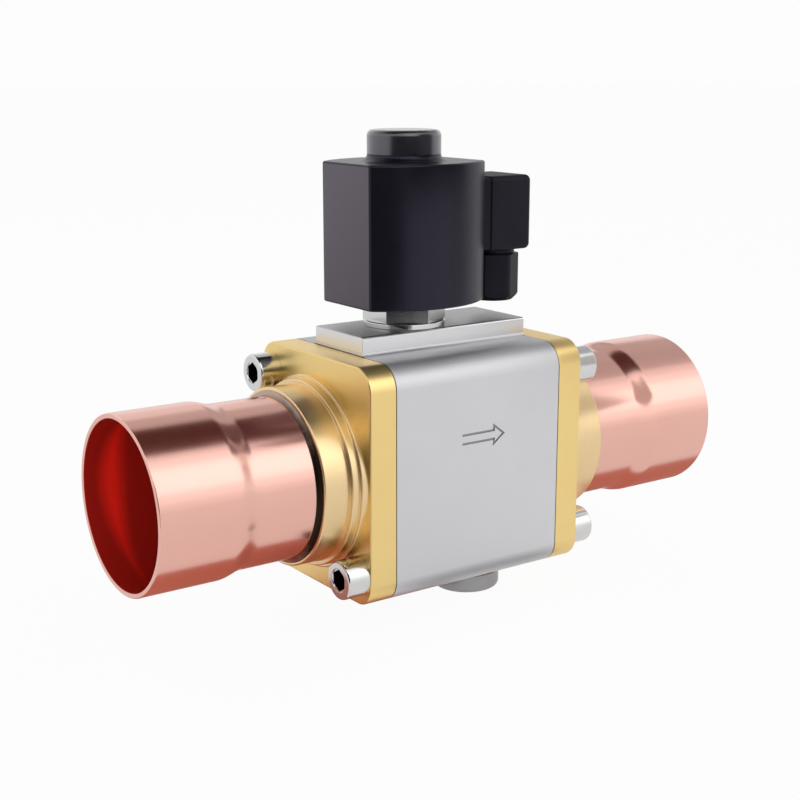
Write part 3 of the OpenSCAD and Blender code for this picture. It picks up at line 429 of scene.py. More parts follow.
satin = Finish("satin_alloy", Metallic=1.0)
speck, cloud = satin.grain(3.5), satin.grain(0.045, 3)
# The engraved arrow's groove is coloured a darker grey: painted shade in the groove.
in_arrow = (satin.y < -SIDE + 0.6) * (abs(satin.z - ARROW_Z) < ARROW_TALL + 0.5) \
    * (satin.y > -SIDE + 0.12) * (abs(satin.x - ARROW_X) < ARROW_HALF + 0.5)
# Both ends get a dark line as wide as the shadow in the joint with the flange: painted shade,
# with some dirt in the seam.
INLET_JOINT, OUTLET_JOINT = 0.25, 0.42
joint_shade_and_dirt = ((abs(satin.x + BLOCK) < INLET_JOINT) + (satin.x > BLOCK - OUTLET_JOINT)) \
    * (abs(satin.z) < DECK + 0.3)
tone = satin.blend(cloud, grey(0.70, (1, 1, 1.03)), grey(0.75, (1, 1, 1.03)))
on_rib = (abs(satin.z) > DECK + 1.6) * (abs(satin.y) < RIB + 0.1)
# The rib's top gets a darker tone: painted shade and painted reflection of the coil above it.
on_top = (abs(satin.z) > RIB_TOP - 0.4) * on_rib
tone = satin.blend(on_rib, tone, grey(0.79, (1, 1, 1.02)))
tone = satin.blend(on_top, tone, grey(0.52, (1, 1, 1.02)))
tone = satin.blend(in_arrow, tone, grey(0.38))
satin.feed(Base_Color=satin.blend(joint_shade_and_dirt, tone, grey(0.10)),
           Roughness=0.47 + speck * 0.10 + cloud * 0.04 - on_rib * 0.24 + on_top * 0.10)
satin.raised(speck, 0.012)
dress(block, "valve_body", satin)


# Flanges: brass plates, milled flat, with a turned collar in three steps that takes the
# copper stub. Each is held on the block by socket head screws, over a flat gasket.

PLATE = 54.1                                # outer face of the plate
MOUTH = 72.0                                # end of the collar
TUBE_END = 56.0                             # shoulder in the collar that the stub stands on
COLLAR_RADII = (40.0, 38.6, 36.6)           # from the plate outwards
STEPS = (PLATE + 3, PLATE + 6.4)            # where the radius changes
WAY, SEAT = 31.25, 33.4                     # radii of the passage and of the stub's seat
CLEARANCE_HOLE = 5.5

brass = Finish("milled_brass", Metallic=1.0)
haze, lines = brass.grain(0.05, 3), brass.grain(1.0, 2, (0.05, 4.0, 0.05))
rings = brass.grain(1.0, 1, (3.0, 0.0, 0.0))
plate_face = abs(brass.x) < PLATE + 0.2
turned_tone = brass.blend(haze, (0.88, 0.65, 0.35, 1), (0.92, 0.70, 0.40, 1))
milled_tone = brass.blend(haze, (0.93, 0.68, 0.28, 1), (0.97, 0.74, 0.32, 1))
brass.feed(Base_Color=brass.blend(plate_face, turned_tone, milled_tone),
           Roughness=0.28 + haze * 0.06 + lines * plate_face * 0.12)
brass.raised(rings, 0.0004)


def collar(name, end):
    """Plate with its stepped collar, made for the outlet and turned round for the inlet."""
    plate = slab(name, (BLOCK, -SIDE, -DECK), (PLATE, SIDE, DECK))
    edit(plate)
    pick("edges", lambda mid, way: abs(way.x) > 0.9)
    ease(EDGE, 12)
    pick("edges", lambda mid, way: abs(way.x) < 0.1 and mid.x > PLATE - CLOSE)
    ease(0.9, 3)
    pick("edges", lambda mid, way: abs(way.x) < 0.1 and mid.x < BLOCK + CLOSE)
    ease(0.35, 2)
    done()
    foot, step, neck = COLLAR_RADII
    steps = turned(name + "_collar", fillet([
        (BLOCK + 2, WAY, 0), (BLOCK + 2, foot, 0), (STEPS[0], foot, 0.45), (STEPS[0], step, 0.25),
        (STEPS[1], step, 0.45), (STEPS[1], neck, 0.25), (MOUTH, neck, 0.7),
        (MOUTH, SEAT, 0.2), (TUBE_END, SEAT, 0), (TUBE_END, WAY, 0)]))
    cut(plate, steps, how="UNION")
    cut(plate, bar("way", (BLOCK - OPEN, 0, 0), (TUBE_END, 0, 0), WAY, sides=128))
    corners = INLET_CORNERS if end < 0 else OUTLET_CORNERS
    for y, z in corners:
        cut(plate, bar("hole", (BLOCK - OPEN, y * SCREW_Y, z * SCREW_Z),
                       (PLATE + OPEN, y * SCREW_Y, z * SCREW_Z), CLEARANCE_HOLE, sides=48))
    if end < 0:
        turn_end(plate)
    smooth(plate, 24)
    return plate


def turn_end(piece):
    """Mirrors a piece of the outlet end to the inlet end."""
    edit(piece)
    bpy.ops.mesh.select_all(action="SELECT")
    bpy.ops.transform.mirror(constraint_axis=(True, False, False), orient_type="GLOBAL",
                             center_override=spot(0, 0, 0))
    bpy.ops.mesh.normals_make_consistent(inside=False)
    done()


for end, side in ((-1, "inlet"), (1, "outlet")):
    dress(collar(side + "_plate", end), side + "_flange", brass)


# Copper stubs: drawn tube, bright outside and darker red inside, with one end widened over a
# mandrel so that the line's pipe fits in. They are pushed into the collars and brazed.

TUBE = 33.35                                # outer radius
SOCKET, SOCKET_OUT = 33.4, 35.5             # radii of the widened end
OUTER_FLARE = (97.6, 108.4)                 # where the outside starts and ends to widen
INNER_FLARE = (98.2, 107.4)
GLINT_MIDDLE, BAND = 129.0, 6.0                  # middle of a painted highlight band in the bore, half its width
FADE = 1100.0                               # how soon it fades upwards and downwards

copper = Finish("bare_copper")
radius = (copper.y * copper.y + copper.z * copper.z) ** 0.5
widened = abs(copper.x) > 106.0
inner = (radius < (WAY + TUBE) / 2) + (radius < SOCKET + 0.15) * widened
# Painted highlight: the bore's red is brighter in a band at this depth, fading upwards and
# downwards.
painted_glint_band = 1.2 - abs(abs(copper.x) - GLINT_MIDDLE) / BAND - copper.z * copper.z / FADE
drawn, patch = copper.grain(1.0, 2, (0.02, 1.6, 1.6)), copper.grain(0.03, 3)
bright = copper.blend(patch, (0.92, 0.55, 0.46, 1), (0.95, 0.60, 0.52, 1))
wall = copper.blend(painted_glint_band, (0.34, 0.001, 0.001, 1), (1.0, 0.012, 0.006, 1))
copper.feed(Base_Color=copper.blend(inner, bright, wall), Metallic=1 - inner * 0.8,
            Roughness=0.15 + drawn * 0.04 + patch * 0.07 + inner * 0.1)
copper.raised(drawn, 0.002)
copper.shared(0.12, copper.node("ShaderNodeBsdfDiffuse", {}, {"Color": (0.62, 0.07, 0.04, 1)}))


def wave(x0, r0, x1, r1, steps=12):
    """A smooth change of radius along the tube."""
    return [(x0 + (x1 - x0) * k / steps,
             r0 + (r1 - r0) * (1 - math.cos(math.pi * k / steps)) / 2) for k in range(steps + 1)]


def stub(name, end):
    """A tube that widens to a socket, whose rim is slightly rounded."""
    outside = wave(OUTER_FLARE[0], TUBE, OUTER_FLARE[1], SOCKET_OUT)
    inside = wave(INNER_FLARE[0], WAY, INNER_FLARE[1], SOCKET)
    rim = [(140.4, SOCKET_OUT), (140.75, 35.4), (140.95, 35.15), (MIDDLE, 34.8), (MIDDLE, 34.0),
           (140.9, 33.65), (140.6, SOCKET)]
    piece = turned(name, [(TUBE_END, WAY), (TUBE_END, TUBE)] + outside + rim + inside[::-1],
                   steps=160)
    if end < 0:
        turn_end(piece)
    smooth(piece, 30)
    return piece


for end, side in ((-1, "inlet"), (1, "outlet")):
    dress(stub(side + "_tube", end), side + "_stub", copper)


# Brazing: a fillet of silver solder round each tube at the collar's mouth. It froze a little
# unevenly, is tinted by the flame, and darkens towards the front.

solder = Finish("silver_solder", Metallic=1.0)
stain, pits = solder.grain(0.12, 3), solder.grain(1.4, 3)
# Darker towards the front (-y), with a noisy edge.
darker_in_front = solder.node("ShaderNodeMapRange", {}, {0: stain * 30 - solder.y, 1: 22.0, 2: 42.0})
solder.feed(Base_Color=solder.blend(darker_in_front, (0.50, 0.37, 0.31, 1), (0.035, 0.022, 0.016, 1)),
            Roughness=0.3 + pits * 0.25)
solder.raised(pits, 0.08)

BEAD = TUBE + 0.07
for end, side in ((-1, "inlet"), (1, "outlet")):
    bead = turned(side + "_bead", fillet([
        (MOUTH, BEAD, 0), (MOUTH, 35.38, 0), (MOUTH + 0.35, 35.1, 0.2), (MOUTH + 0.7, 34.3, 0.5),
        (MOUTH + 1.35, 33.75, 0.4), (MOUTH + 1.95, BEAD, 0)], 3), steps=160)
    if end < 0:
        turn_end(bead)
    smooth(bead, 50)
    dress(bead, side + "_braze", solder)


# Flange screws: M10 socket head screws, polished, three on the inlet side and four on the
# outlet side.

polished = Finish("polished_steel", Metallic=1.0)
smear = polished.grain(0.12, 3)
polished.feed(Base_Color=polished.blend(smear, grey(0.66, (1, 1, 1.01)), grey(0.76)),
              Roughness=0.12 + smear * 0.1)

SHANK, HEAD, HEAD_HIGH = 5.0, 8.0, 10.0     # radii of the screw, and its head's height
REACH = 18.0                                # how deep it goes into the block
KEY, KEY_DEPTH = 4.62, 5.0
KEY_EDGE, KEY_RIM = 4.72, 4.75              # radii of the key socket's shade and rounded mouth

headed = Finish("screw_steel", Metallic=1.0)
off_y, off_z = abs(headed.y) - SCREW_Y, abs(headed.z) - SCREW_Z
# Painted shade: the key sockets are coloured near black.
in_key = (off_y * off_y + off_z * off_z < KEY_EDGE ** 2) * (abs(headed.x) < PLATE + 9.5)
worn = headed.grain(0.2, 3)
headed.feed(Base_Color=headed.blend(in_key, headed.blend(worn, grey(0.68), grey(0.80)),
                                    grey(0.025)),
            Roughness=0.11 + worn * 0.12 + in_key * 0.4)


def cap_screw(name):
    """Head and shank on the flow axis, seated on the plate of the outlet side."""
    tip = BLOCK - REACH
    screw = turned(name, fillet([
        (tip, 0, 0), (tip, SHANK, 0.8), (PLATE, SHANK, 0), (PLATE, HEAD, 0.2),
        (PLATE + HEAD_HIGH, HEAD, 1.1), (PLATE + HEAD_HIGH, KEY_RIM, 0.3), (PLATE + 9.6, 4.6, 0),
        (PLATE + 9.6, 0, 0)]), steps=64)
    cut(screw, bar("key", (PLATE + HEAD_HIGH - KEY_DEPTH, 0, 0),
                   (PLATE + HEAD_HIGH + OPEN, 0, 0), KEY, sides=6))
    smooth(screw, 30)
    return screw


for end, side, corners in ((-1, "inlet", INLET_CORNERS), (1, "outlet", OUTLET_CORNERS)):
    first = cap_screw(side + "_cap_screws")
    copies = []
    for y, z in corners:
        nothing_selected()
        copy = first.copy()
        copy.data = first.data.copy()
        bpy.context.collection.objects.link(copy)
        edit(copy)
        bpy.ops.mesh.select_all(action="SELECT")
        bpy.ops.transform.translate(value=(0, y * SCREW_Y * MM, z * SCREW_Z * MM))
        done()
        copies.append(copy)
    bpy.data.objects.remove(first)
    nothing_selected()
    for copy in copies:
        copy.select_set(True)
    bpy.context.view_layer.objects.active = copies[0]
    bpy.ops.object.join()
    screws = copies[0]
    screws.name = side + "_cap_screws"
    if end < 0:
        turn_end(screws)
        smooth(screws, 30)
    dress(screws, side + "_screws", headed)


# Bottom plug: a round-headed steel plug with a hexagon socket, screwed in from below on a
# copper washer.

WASHER, PLUG_HIGH = 1.4, 8.0
HEAD_TOP = -RIB_TOP - WASHER
HEAD_LOW = HEAD_TOP - PLUG_HIGH
PLUG_HEAD, PLUG_SHANK = 15.0, 10.0
PLUG_KEY, PLUG_KEY_DEPTH = 6.93, 5.6
plug = turned("drain_plug", fillet([
    (HEAD_LOW, 7.4, 0.2), (HEAD_LOW, PLUG_HEAD, 2.4), (HEAD_TOP, PLUG_HEAD, 0.4),
    (HEAD_TOP, PLUG_SHANK, 0), (PLUG_END - 1, PLUG_SHANK, 0.8), (PLUG_END - 1, 0, 0),
    (HEAD_LOW + 0.6, 0, 0), (HEAD_LOW + 0.6, 6.9, 0)]), upright_at=PLUG, steps=96)
cut(plug, bar("key", (PLUG, 0, HEAD_LOW - OPEN), (PLUG, 0, HEAD_LOW + PLUG_KEY_DEPTH), PLUG_KEY,
              sides=6))
smooth(plug, 30)
plain = Finish("plug_steel", Metallic=0.45)
wear = plain.grain(0.08, 2)
plain.feed(Base_Color=plain.blend(wear, grey(0.34), grey(0.42)), Roughness=0.18 + wear * 0.10)
dress(plug, "bottom_plug", plain)


# Tube nut: a polished hexagon on a round collar. Its shank clamps the foot of the pilot
# valve's tube into the block.

ACROSS, HEX_LOW, HEX_TOP = 30.0, 58.6, 65.4     # the hexagon, across its flats and in height
COLLAR, COLLAR_TOP = 17.2, 59.0
SHANK_RADIUS, SHANK_LOW = 11.5, 51.7
TUBE_ROOM = 6.8                             # radius of the way for the pilot valve's tube
nut = bar("pilot_nut", (PILOT, 0, HEX_LOW), (PILOT, 0, HEX_TOP), ACROSS / math.sqrt(3), sides=6)
cut(nut, turned("crown", fillet([
    (HEX_LOW - 0.6, 0, 0), (HEX_LOW - 0.6, 18, 0), (HEX_TOP - 1.3, 17.6, 0), (HEX_TOP, 15.1, 0),
    (HEX_TOP, 0, 0)], 3), upright_at=PILOT), how="INTERSECT")
modify(nut, "BEVEL", width=0.25 * MM, segments=2, limit_method="ANGLE",
       angle_limit=math.radians(40))
cut(nut, turned("nut_base", fillet([
    (SHANK_LOW, 0, 0), (SHANK_LOW, SHANK_RADIUS, 0.3), (RIB_TOP, SHANK_RADIUS, 0),
    (RIB_TOP, COLLAR, 0.3), (COLLAR_TOP, COLLAR, 0.6), (COLLAR_TOP, 0, 0)]),
    upright_at=PILOT), how="UNION")
cut(nut, bar("way", (PILOT, 0, SHANK_LOW - OPEN), (PILOT, 0, HEX_TOP + OPEN), TUBE_ROOM))
smooth(nut, 30)
dress(nut, "tube_nut", polished)


# Coil: winding and yoke moulded into a black resin block with two flat ends and bulging
# sides. The lettered field on its inlet end is left bare. A flared ring on top carries the
# screw cap.

COIL_LOW, COIL_TOP = 66.4, 124.2
END, FLAT, BULGE = 28.8, 17.2, 28.5         # half its length, its flat ends and its width
SWEEP = (END ** 2 + (BULGE - FLAT) ** 2) / (2 * (BULGE - FLAT))
FLARE_RISE, FLARE_REACH = 2.6, 4.0          # of the ring that carries the cap
FLARE = COIL_TOP + FLARE_RISE
CAP = 15.25
WALL, CHEEK = 2.95, 3.0                     # of resin round the yoke, and of the yoke itself
YOKE, YOKE_SIDE, WINDING = 25.85, 14.55, 21.65
NUT_ROOM = 10.5
CONTACTS = 101.2                            # height of the connector's screw and two blades
BLADES = [(-9, CONTACTS, 0.8, 6.3), (9, CONTACTS, 0.8, 6.3), (0, CONTACTS - 9, 6.3, 0.8)]
BLADE_DEPTH, BLADE_ROOM = 2.4, 0.05
CONNECTOR_BOLT = 1.55

resin = Finish("black_resin", Specular_IOR_Level=0.48, Specular_Tint=(0.74, 0.70, 1.0, 1.0))
skin, tide = resin.grain(2.2, 3), resin.grain(0.06, 3)
field = (resin.x < PILOT - END + 0.05) * (abs(resin.y) < FLAT - 0.4) \
    * (resin.z > COIL_LOW + 0.9) * (resin.z < COIL_TOP - 0.9)
body = resin.blend(tide, (0.003, 0.003, 0.005, 1), (0.005, 0.005, 0.009, 1))
# The bare label field is lighter than the body, and lighter towards its top and its +y edge:
# partly the field's own tone, partly painted light.
field_and_painted_light = resin.blend((COIL_TOP - resin.z - resin.y) * 0.012, (0.118, 0.105, 0.120, 1),
                         (0.070, 0.062, 0.072, 1))
resin.feed(Base_Color=resin.blend(field, body, field_and_painted_light),
           Roughness=0.25 + skin * 0.10 + tide * 0.05 + field * 0.22)
resin.raised(skin, 0.02)

SIDE_STEPS = 24
arc = math.asin(END / SWEEP)
outline = []
for side in (-1, 1):
    for k in range(SIDE_STEPS + 1):
        a = -arc + 2 * arc * k / SIDE_STEPS
        outline.append(spot(PILOT + side * SWEEP * math.sin(-a),
                            side * (SWEEP * math.cos(a) + BULGE - SWEEP), COIL_LOW))
coil = pressed("coil_moulding", outline, (0, 0, COIL_TOP - COIL_LOW))
edit(coil)
pick("edges", lambda mid, way: abs(way.z) > 0.9 and abs(abs(mid.x - PILOT) - END) < 0.02)
ease(1.0, 4)
pick("edges", lambda mid, way: abs(way.z) < 0.1 and (mid.z > COIL_TOP - CLOSE
                                                     or mid.z < COIL_LOW + CLOSE))
ease(0.9, 4)
done()
wide = CAP + FLARE_REACH
ring = [(COIL_TOP - 1, 0), (COIL_TOP - 1, wide), (COIL_TOP, wide)]
for k in range(1, 11):
    a = math.radians(9 * k)
    ring.append((FLARE - FLARE_RISE * math.cos(a), wide - FLARE_REACH * math.sin(a)))
cut(coil, turned("flare", ring + [(FLARE, 0)], upright_at=PILOT), how="UNION")
cut(coil, slab("yoke_room", (PILOT - YOKE, -YOKE_SIDE, COIL_LOW + WALL),
               (PILOT + YOKE, YOKE_SIDE, COIL_TOP - WALL)))
cut(coil, bar("winding_room", (PILOT, 0, COIL_LOW + WALL + CHEEK),
              (PILOT, 0, COIL_TOP - WALL - CHEEK), WINDING),
    bar("tube_way", (PILOT, 0, COIL_LOW - OPEN), (PILOT, 0, FLARE + OPEN), TUBE_ROOM),
    bar("nut_room", (PILOT, 0, COIL_TOP - CHEEK), (PILOT, 0, FLARE + OPEN), NUT_ROOM))
face = PILOT + END
for y, z, w, h in BLADES:
    w, h = w / 2 + BLADE_ROOM, h / 2 + BLADE_ROOM
    cut(coil, slab("blade_room", (face - BLADE_DEPTH, y - w, z - h), (face + OPEN, y + w, z + h)))
cut(coil, bar("screw_room", (face - BLADE_DEPTH, 0, CONTACTS), (face + OPEN, 0, CONTACTS),
              CONNECTOR_BOLT, sides=32))
smooth(coil, 26)
dress(coil, "coil_housing", resin)


# Screw cap: turned black plastic with a rounded top edge. It covers the nut that holds the
# coil on its stud.

shell = Finish("cap_plastic", Specular_IOR_Level=1.0, Specular_Tint=(0.86, 0.83, 1.0, 1.0),
               Coat_Weight=0.9, Coat_Roughness=0.22, Coat_IOR=1.7)
fine = shell.grain(1.6, 2)
shell.feed(Base_Color=shell.blend(fine, (0.002, 0.002, 0.005, 1), (0.005, 0.005, 0.009, 1)),
           Roughness=0.28 + fine * 0.08)
shell.raised(fine, 0.01)
TOP = FLARE + 10
CAP_LOW = FLARE + 0.02
SEAL_IN, SEAL_OUT, SEAL_TOP = 11.45, 13.55, FLARE + 1.2     # groove for the cap's seal
SPIGOT, SPIGOT_BORE = 10.4, 8.6
cap = turned("coil_screw_cap", fillet([
    (TOP, 0, 0), (TOP, CAP, 2.4), (CAP_LOW, CAP, 0.25), (CAP_LOW, SEAL_OUT, 0),
    (SEAL_TOP, SEAL_OUT, 0), (SEAL_TOP, SEAL_IN, 0), (CAP_LOW, SEAL_IN, 0),
    (CAP_LOW, SPIGOT, 0), (FLARE - FLARE_RISE, SPIGOT, 0.3), (FLARE - FLARE_RISE, SPIGOT_BORE, 0),
    (TOP - 2.2, SPIGOT_BORE, 0.5), (TOP - 2.2, 0, 0)], 8), upright_at=PILOT)
smooth(cap, 30)
dress(cap, "coil_cap", shell)


# Plug connector: a moulded base and a slightly larger cover with rounded edges, held on the
# coil's three blades by one long slotted screw. Its threaded neck points down.

BOX, LID, BOX_END = 21.3, 26.5, 48.3        # where the base, the cover and the outer face are
HALF, BOX_LOW, BOX_TOP = 13.75, 85.4, 117.0     # half the cover's width, and its height
STEP = 0.6                                  # how far the base stands back from the cover
CASE_WALL = 2.6
GLAND = 38.3                                # the axis of the gland
NECK, NECK_LOW = 8.0, 75.0
NECK_COLLAR, NECK_COLLAR_LOW = 9.2, 83.4
CABLE_WAY = 5.6
SCREW_HEAD, SCREW_HEAD_DEPTH = 3.25, 0.8
moulding = Finish("connector_moulding", Specular_IOR_Level=0.24,
                  Specular_Tint=(0.80, 0.77, 1.0, 1.0))
erosion, drift = moulding.grain(3.0, 3), moulding.grain(0.08, 2)
moulding.feed(Base_Color=moulding.blend(drift, (0.004, 0.004, 0.007, 1),
                                        (0.008, 0.008, 0.012, 1)),
              Roughness=0.42 + erosion * 0.16)
moulding.raised(erosion, 0.03)

case = slab("plug_case", (LID, -HALF, BOX_LOW), (BOX_END, HALF, BOX_TOP))
edit(case)
pick("edges", lambda mid, way: mid.x > LID + 0.3)
ease(2.5, 6)
pick("edges", lambda mid, way: abs(way.x) < 0.1 and mid.x < LID + 0.1)
ease(0.35, 2)
done()
base = slab("plug_base", (BOX, -HALF + STEP, BOX_LOW + STEP),
            (BOX + 6, HALF - STEP, BOX_TOP - STEP))
edit(base)
pick("edges", lambda mid, way: abs(way.x) > 0.9)
ease(1.4, 4)
pick("edges", lambda mid, way: abs(way.x) < 0.1 and mid.x < BOX + CLOSE)
ease(0.4, 2)
done()
cut(case, base, how="UNION")
cut(case, turned("plug_neck", fillet([
    (NECK_LOW, 0, 0), (NECK_LOW, NECK, 0.5), (NECK_COLLAR_LOW, NECK, 0),
    (NECK_COLLAR_LOW, NECK_COLLAR, 0.3), (BOX_LOW + 1, NECK_COLLAR, 0), (BOX_LOW + 1, 0, 0)]),
    upright_at=GLAND, steps=64), how="UNION")
cut(case, slab("wire_room", (BOX - OPEN, -HALF + CASE_WALL, BOX_LOW + CASE_WALL),
               (BOX_END - 2, HALF - CASE_WALL, BOX_TOP - CASE_WALL)))
cut(case, bar("cable_way", (GLAND, 0, NECK_LOW - OPEN), (GLAND, 0, BOX_LOW + 4), CABLE_WAY,
              sides=64))
cut(case, bar("screw_way", (BOX_END - 3, 0, CONTACTS), (BOX_END + OPEN, 0, CONTACTS),
              CONNECTOR_BOLT, sides=32),
    bar("screw_seat", (BOX_END - SCREW_HEAD_DEPTH, 0, CONTACTS), (BOX_END + OPEN, 0, CONTACTS),
        SCREW_HEAD, sides=48))
smooth(case, 28)
dress(case, "connector_housing", moulding)


# Cable gland: a hexagon nut of the same plastic, bevelled at its open lower end, that
# squeezes the seal onto the coil's cable.

NUT_LOW, NUT_TOP, NUT_CORNER = 63.0, 83.0, 20 / math.sqrt(3)
CABLE, CABLE_MOUTH, NECK_ROOM = 4.25, 4.9, 8.05     # radii of its bore, from below
END_WALL = 3.0
gland = bar("gland_cap", (GLAND, 0, NUT_LOW), (GLAND, 0, NUT_TOP), NUT_CORNER, sides=6)
edit(gland)
pick("edges", lambda mid, way: abs(way.z) > 0.9)
ease(1.3, 4)
done()
cut(gland, turned("gland_bevel", fillet([
    (NUT_LOW, 0, 0), (NUT_LOW, NUT_CORNER - 2.9, 0.5), (NUT_LOW + 3, NUT_CORNER, 1.5),
    (NUT_TOP - 0.6, NUT_CORNER, 0), (NUT_TOP, NUT_CORNER - 0.6, 0), (NUT_TOP, 0, 0)], 4),
    upright_at=GLAND), how="INTERSECT")
cut(gland, turned("gland_bore", [
    (NUT_LOW - OPEN, 0), (NUT_LOW - OPEN, 5.0), (NUT_LOW, CABLE_MOUTH), (NUT_LOW + 0.7, CABLE),
    (NUT_LOW + END_WALL, CABLE), (NUT_LOW + END_WALL, NECK_ROOM), (NUT_TOP + OPEN, NECK_ROOM),
    (NUT_TOP + OPEN, 0)], upright_at=GLAND))
smooth(gland, 26)
dress(gland, "gland_nut", moulding)


# Springs: drawn steel wire, wound with closed end turns. One closes the piston, the other the
# pilot's plunger.

drawn_wire = Finish("spring_wire", Metallic=1.0)
drag = drawn_wire.grain(0.8, 2)
drawn_wire.feed(Base_Color=drawn_wire.blend(drag, grey(0.48), grey(0.58)),
                Roughness=0.22 + drag * 0.14)


def wound(name, stand, length, middle, wire, turns, per_turn=24):
    """Winds a spring of a middle diameter. stand() puts each point of its line in place."""
    points = []
    for k in range(turns * per_turn + 1):
        t = k / per_turn
        if t < 1:
            rise = wire / 2 + t * wire
        elif t > turns - 1:
            rise = length - wire / 2 - (turns - t) * wire
        else:
            rise = 1.5 * wire + (t - 1) / (turns - 2) * (length - 3 * wire)
        a = math.tau * t
        points.append(stand(rise, middle / 2 * math.cos(a), middle / 2 * math.sin(a)))
    draw(name, points)
    done()
    bpy.ops.object.convert(target="CURVE")
    rod = bpy.context.object.data
    rod.bevel_depth, rod.bevel_resolution, rod.use_fill_caps = wire / 2 * MM, 2, True
    bpy.ops.object.convert(target="MESH")
    spring = bpy.context.object
    spring.name = name
    smooth(spring, 50)
    return spring


PISTON_SEAT, PISTON_SPRING, LIFT = -19.9, 25.8, 11.0
spring = wound("piston_coil_spring", lambda rise, u, v: spot(PISTON_SEAT + rise, u, v),
               PISTON_SPRING, middle=30, wire=1.8, turns=5)
dress(spring, "piston_spring", drawn_wire)
spot(PISTON_SEAT, 0, 0)
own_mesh(spring)

CORE_FACE, PLUNGER_SPRING, PLUNGER_LIFT = 89.0, 18.4, 2.4
spring = wound("plunger_coil_spring",
               lambda rise, u, v: spot(PILOT + u, v, CORE_FACE - PLUNGER_SPRING + rise),
               PLUNGER_SPRING, middle=4.8, wire=0.6, turns=9)
dress(spring, "plunger_spring", drawn_wire)
spot(PILOT, 0, CORE_FACE)
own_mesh(spring)


# Pieces kept as they come from the solid model, held inside or nearly hidden: the guide, seat
# and piston, the pilot's parts, the seals, and what is in the coil and the connector. Each gets
# the finish of its material.

cast = Finish("fine_casting", Metallic=1.0)
sand = cast.grain(0.9, 4)
cast.feed(Base_Color=cast.blend(sand, grey(0.30, (1, 0.98, 0.95)), grey(0.42)),
          Roughness=0.42 + sand * 0.2)
cast.raised(sand, 0.06)

core = Finish("turned_core_steel", Metallic=1.0)
tool_marks = core.grain(1.0, 1, (0.3, 0.3, 7.0))
core.feed(Base_Color=core.blend(tool_marks, grey(0.36), grey(0.46)),
          Roughness=0.24 + tool_marks * 0.14)
core.raised(tool_marks, 0.006)

seal = Finish("seal_rubber", Specular_IOR_Level=0.4)
bloom = seal.grain(0.7, 4)
seal.feed(Base_Color=seal.blend(bloom, grey(0.014), grey(0.024)), Roughness=0.55 + bloom * 0.2)
seal.raised(bloom, 0.03)

fibre = Finish("fibre_gasket")
strands = fibre.grain(1.2, 5, (0.5, 1.0, 1.0))
fibre.feed(Base_Color=fibre.blend(strands, grey(0.03), grey(0.07)), Roughness=0.7 + strands * 0.2)
fibre.raised(strands, 0.05)

slippery = Finish("sealing_plastic")
milk = slippery.grain(0.3, 3)
slippery.feed(Base_Color=slippery.blend(milk, (0.76, 0.74, 0.68, 1), (0.82, 0.81, 0.76, 1)),
              Roughness=0.3 + milk * 0.12)

bobbin = Finish("bobbin_plastic")
flow = bobbin.grain(0.25, 3)
bobbin.feed(Base_Color=bobbin.blend(flow, (0.66, 0.63, 0.55, 1), (0.72, 0.70, 0.63, 1)),
            Roughness=0.4 + flow * 0.12)

WIRE_PITCH = 0.5
winding = Finish("wound_wire", Metallic=1.0)
turns = winding.z * (math.tau / WIRE_PITCH)
# Painted shade: the wire's colour is darker in the grooves between the turns.
ridge = turns.maths("SINE", turns) * 0.5 + 0.5
winding.feed(Base_Color=winding.blend(ridge, (0.33, 0.10, 0.05, 1), (0.78, 0.36, 0.22, 1)),
             Roughness=0.25 + ridge * 0.1)
winding.raised(ridge, 0.12)

KEPT = {
    cast: ["piston_guide"],
    polished: ["seat_ring", "disc_retainer", "pilot_seat", "armature_tube", "lock_nut",
               "terminal_blades", "connector_screw", "gland_washer"],
    brass: ["piston", "channel_plug"],
    copper: ["plug_washer", "shading_ring"],
    core: ["fixed_core", "plunger", "magnet_yoke"],
    seal: ["foot_seal", "plunger_seal", "coil_seal", "cap_seal", "connector_gasket",
           "gland_seal"],
    fibre: ["inlet_gasket", "outlet_gasket"],
    slippery: ["piston_rings", "seat_disc"],
    bobbin: ["coil_bobbin"],
    winding: ["coil_winding"],
    moulding: ["terminal_block"],
}
for finish, nodes in KEPT.items():
    for name in nodes:
        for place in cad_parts[name].material_slots:
            place.material = finish.material


# Studio: a pale floor just under the plug and a white surround. Three soft boxes light the
# valve from the front right and from behind, and a small one shines into the inlet. The cards
# are seen in reflections alone and draw the dark and tinted bands on metal and plastic.

FLOOR = -66.4
WHITE = (1, 1, 1, 1)
paper = Finish("pale_floor", Roughness=0.9, Specular_IOR_Level=0.0, Base_Color=grey(0.93))
nothing_selected()
bpy.ops.mesh.primitive_plane_add(size=30, location=spot(0, 0, FLOOR))
floor = placed("floor")
floor.data.materials.append(paper.material)
paper.shared(paper.node("ShaderNodeLightPath", {}, {}, "Is Camera Ray") * 0.95
             + paper.node("ShaderNodeLightPath", {}, {}, "Is Glossy Ray") * 0.55,
             paper.node("ShaderNodeEmission", {}, {"Color": WHITE}))

world = bpy.data.worlds.new("white_surround")
bpy.context.scene.world = world
world.use_nodes = True
sky = world.node_tree.nodes["Background"]
rays = world.node_tree.nodes.new("ShaderNodeLightPath")
kinds = [Wire(world.node_tree, rays.outputs["Is %s Ray" % kind])
         for kind in ("Camera", "Glossy", "Transmission")]
seen = kinds[0].maths("MAXIMUM", kinds[0], kinds[1])
seen = seen.maths("MAXIMUM", seen, kinds[2])
world.node_tree.links.new((seen * 0.48 + 0.5).socket, sky.inputs["Strength"])
sky.inputs["Color"].default_value = WHITE


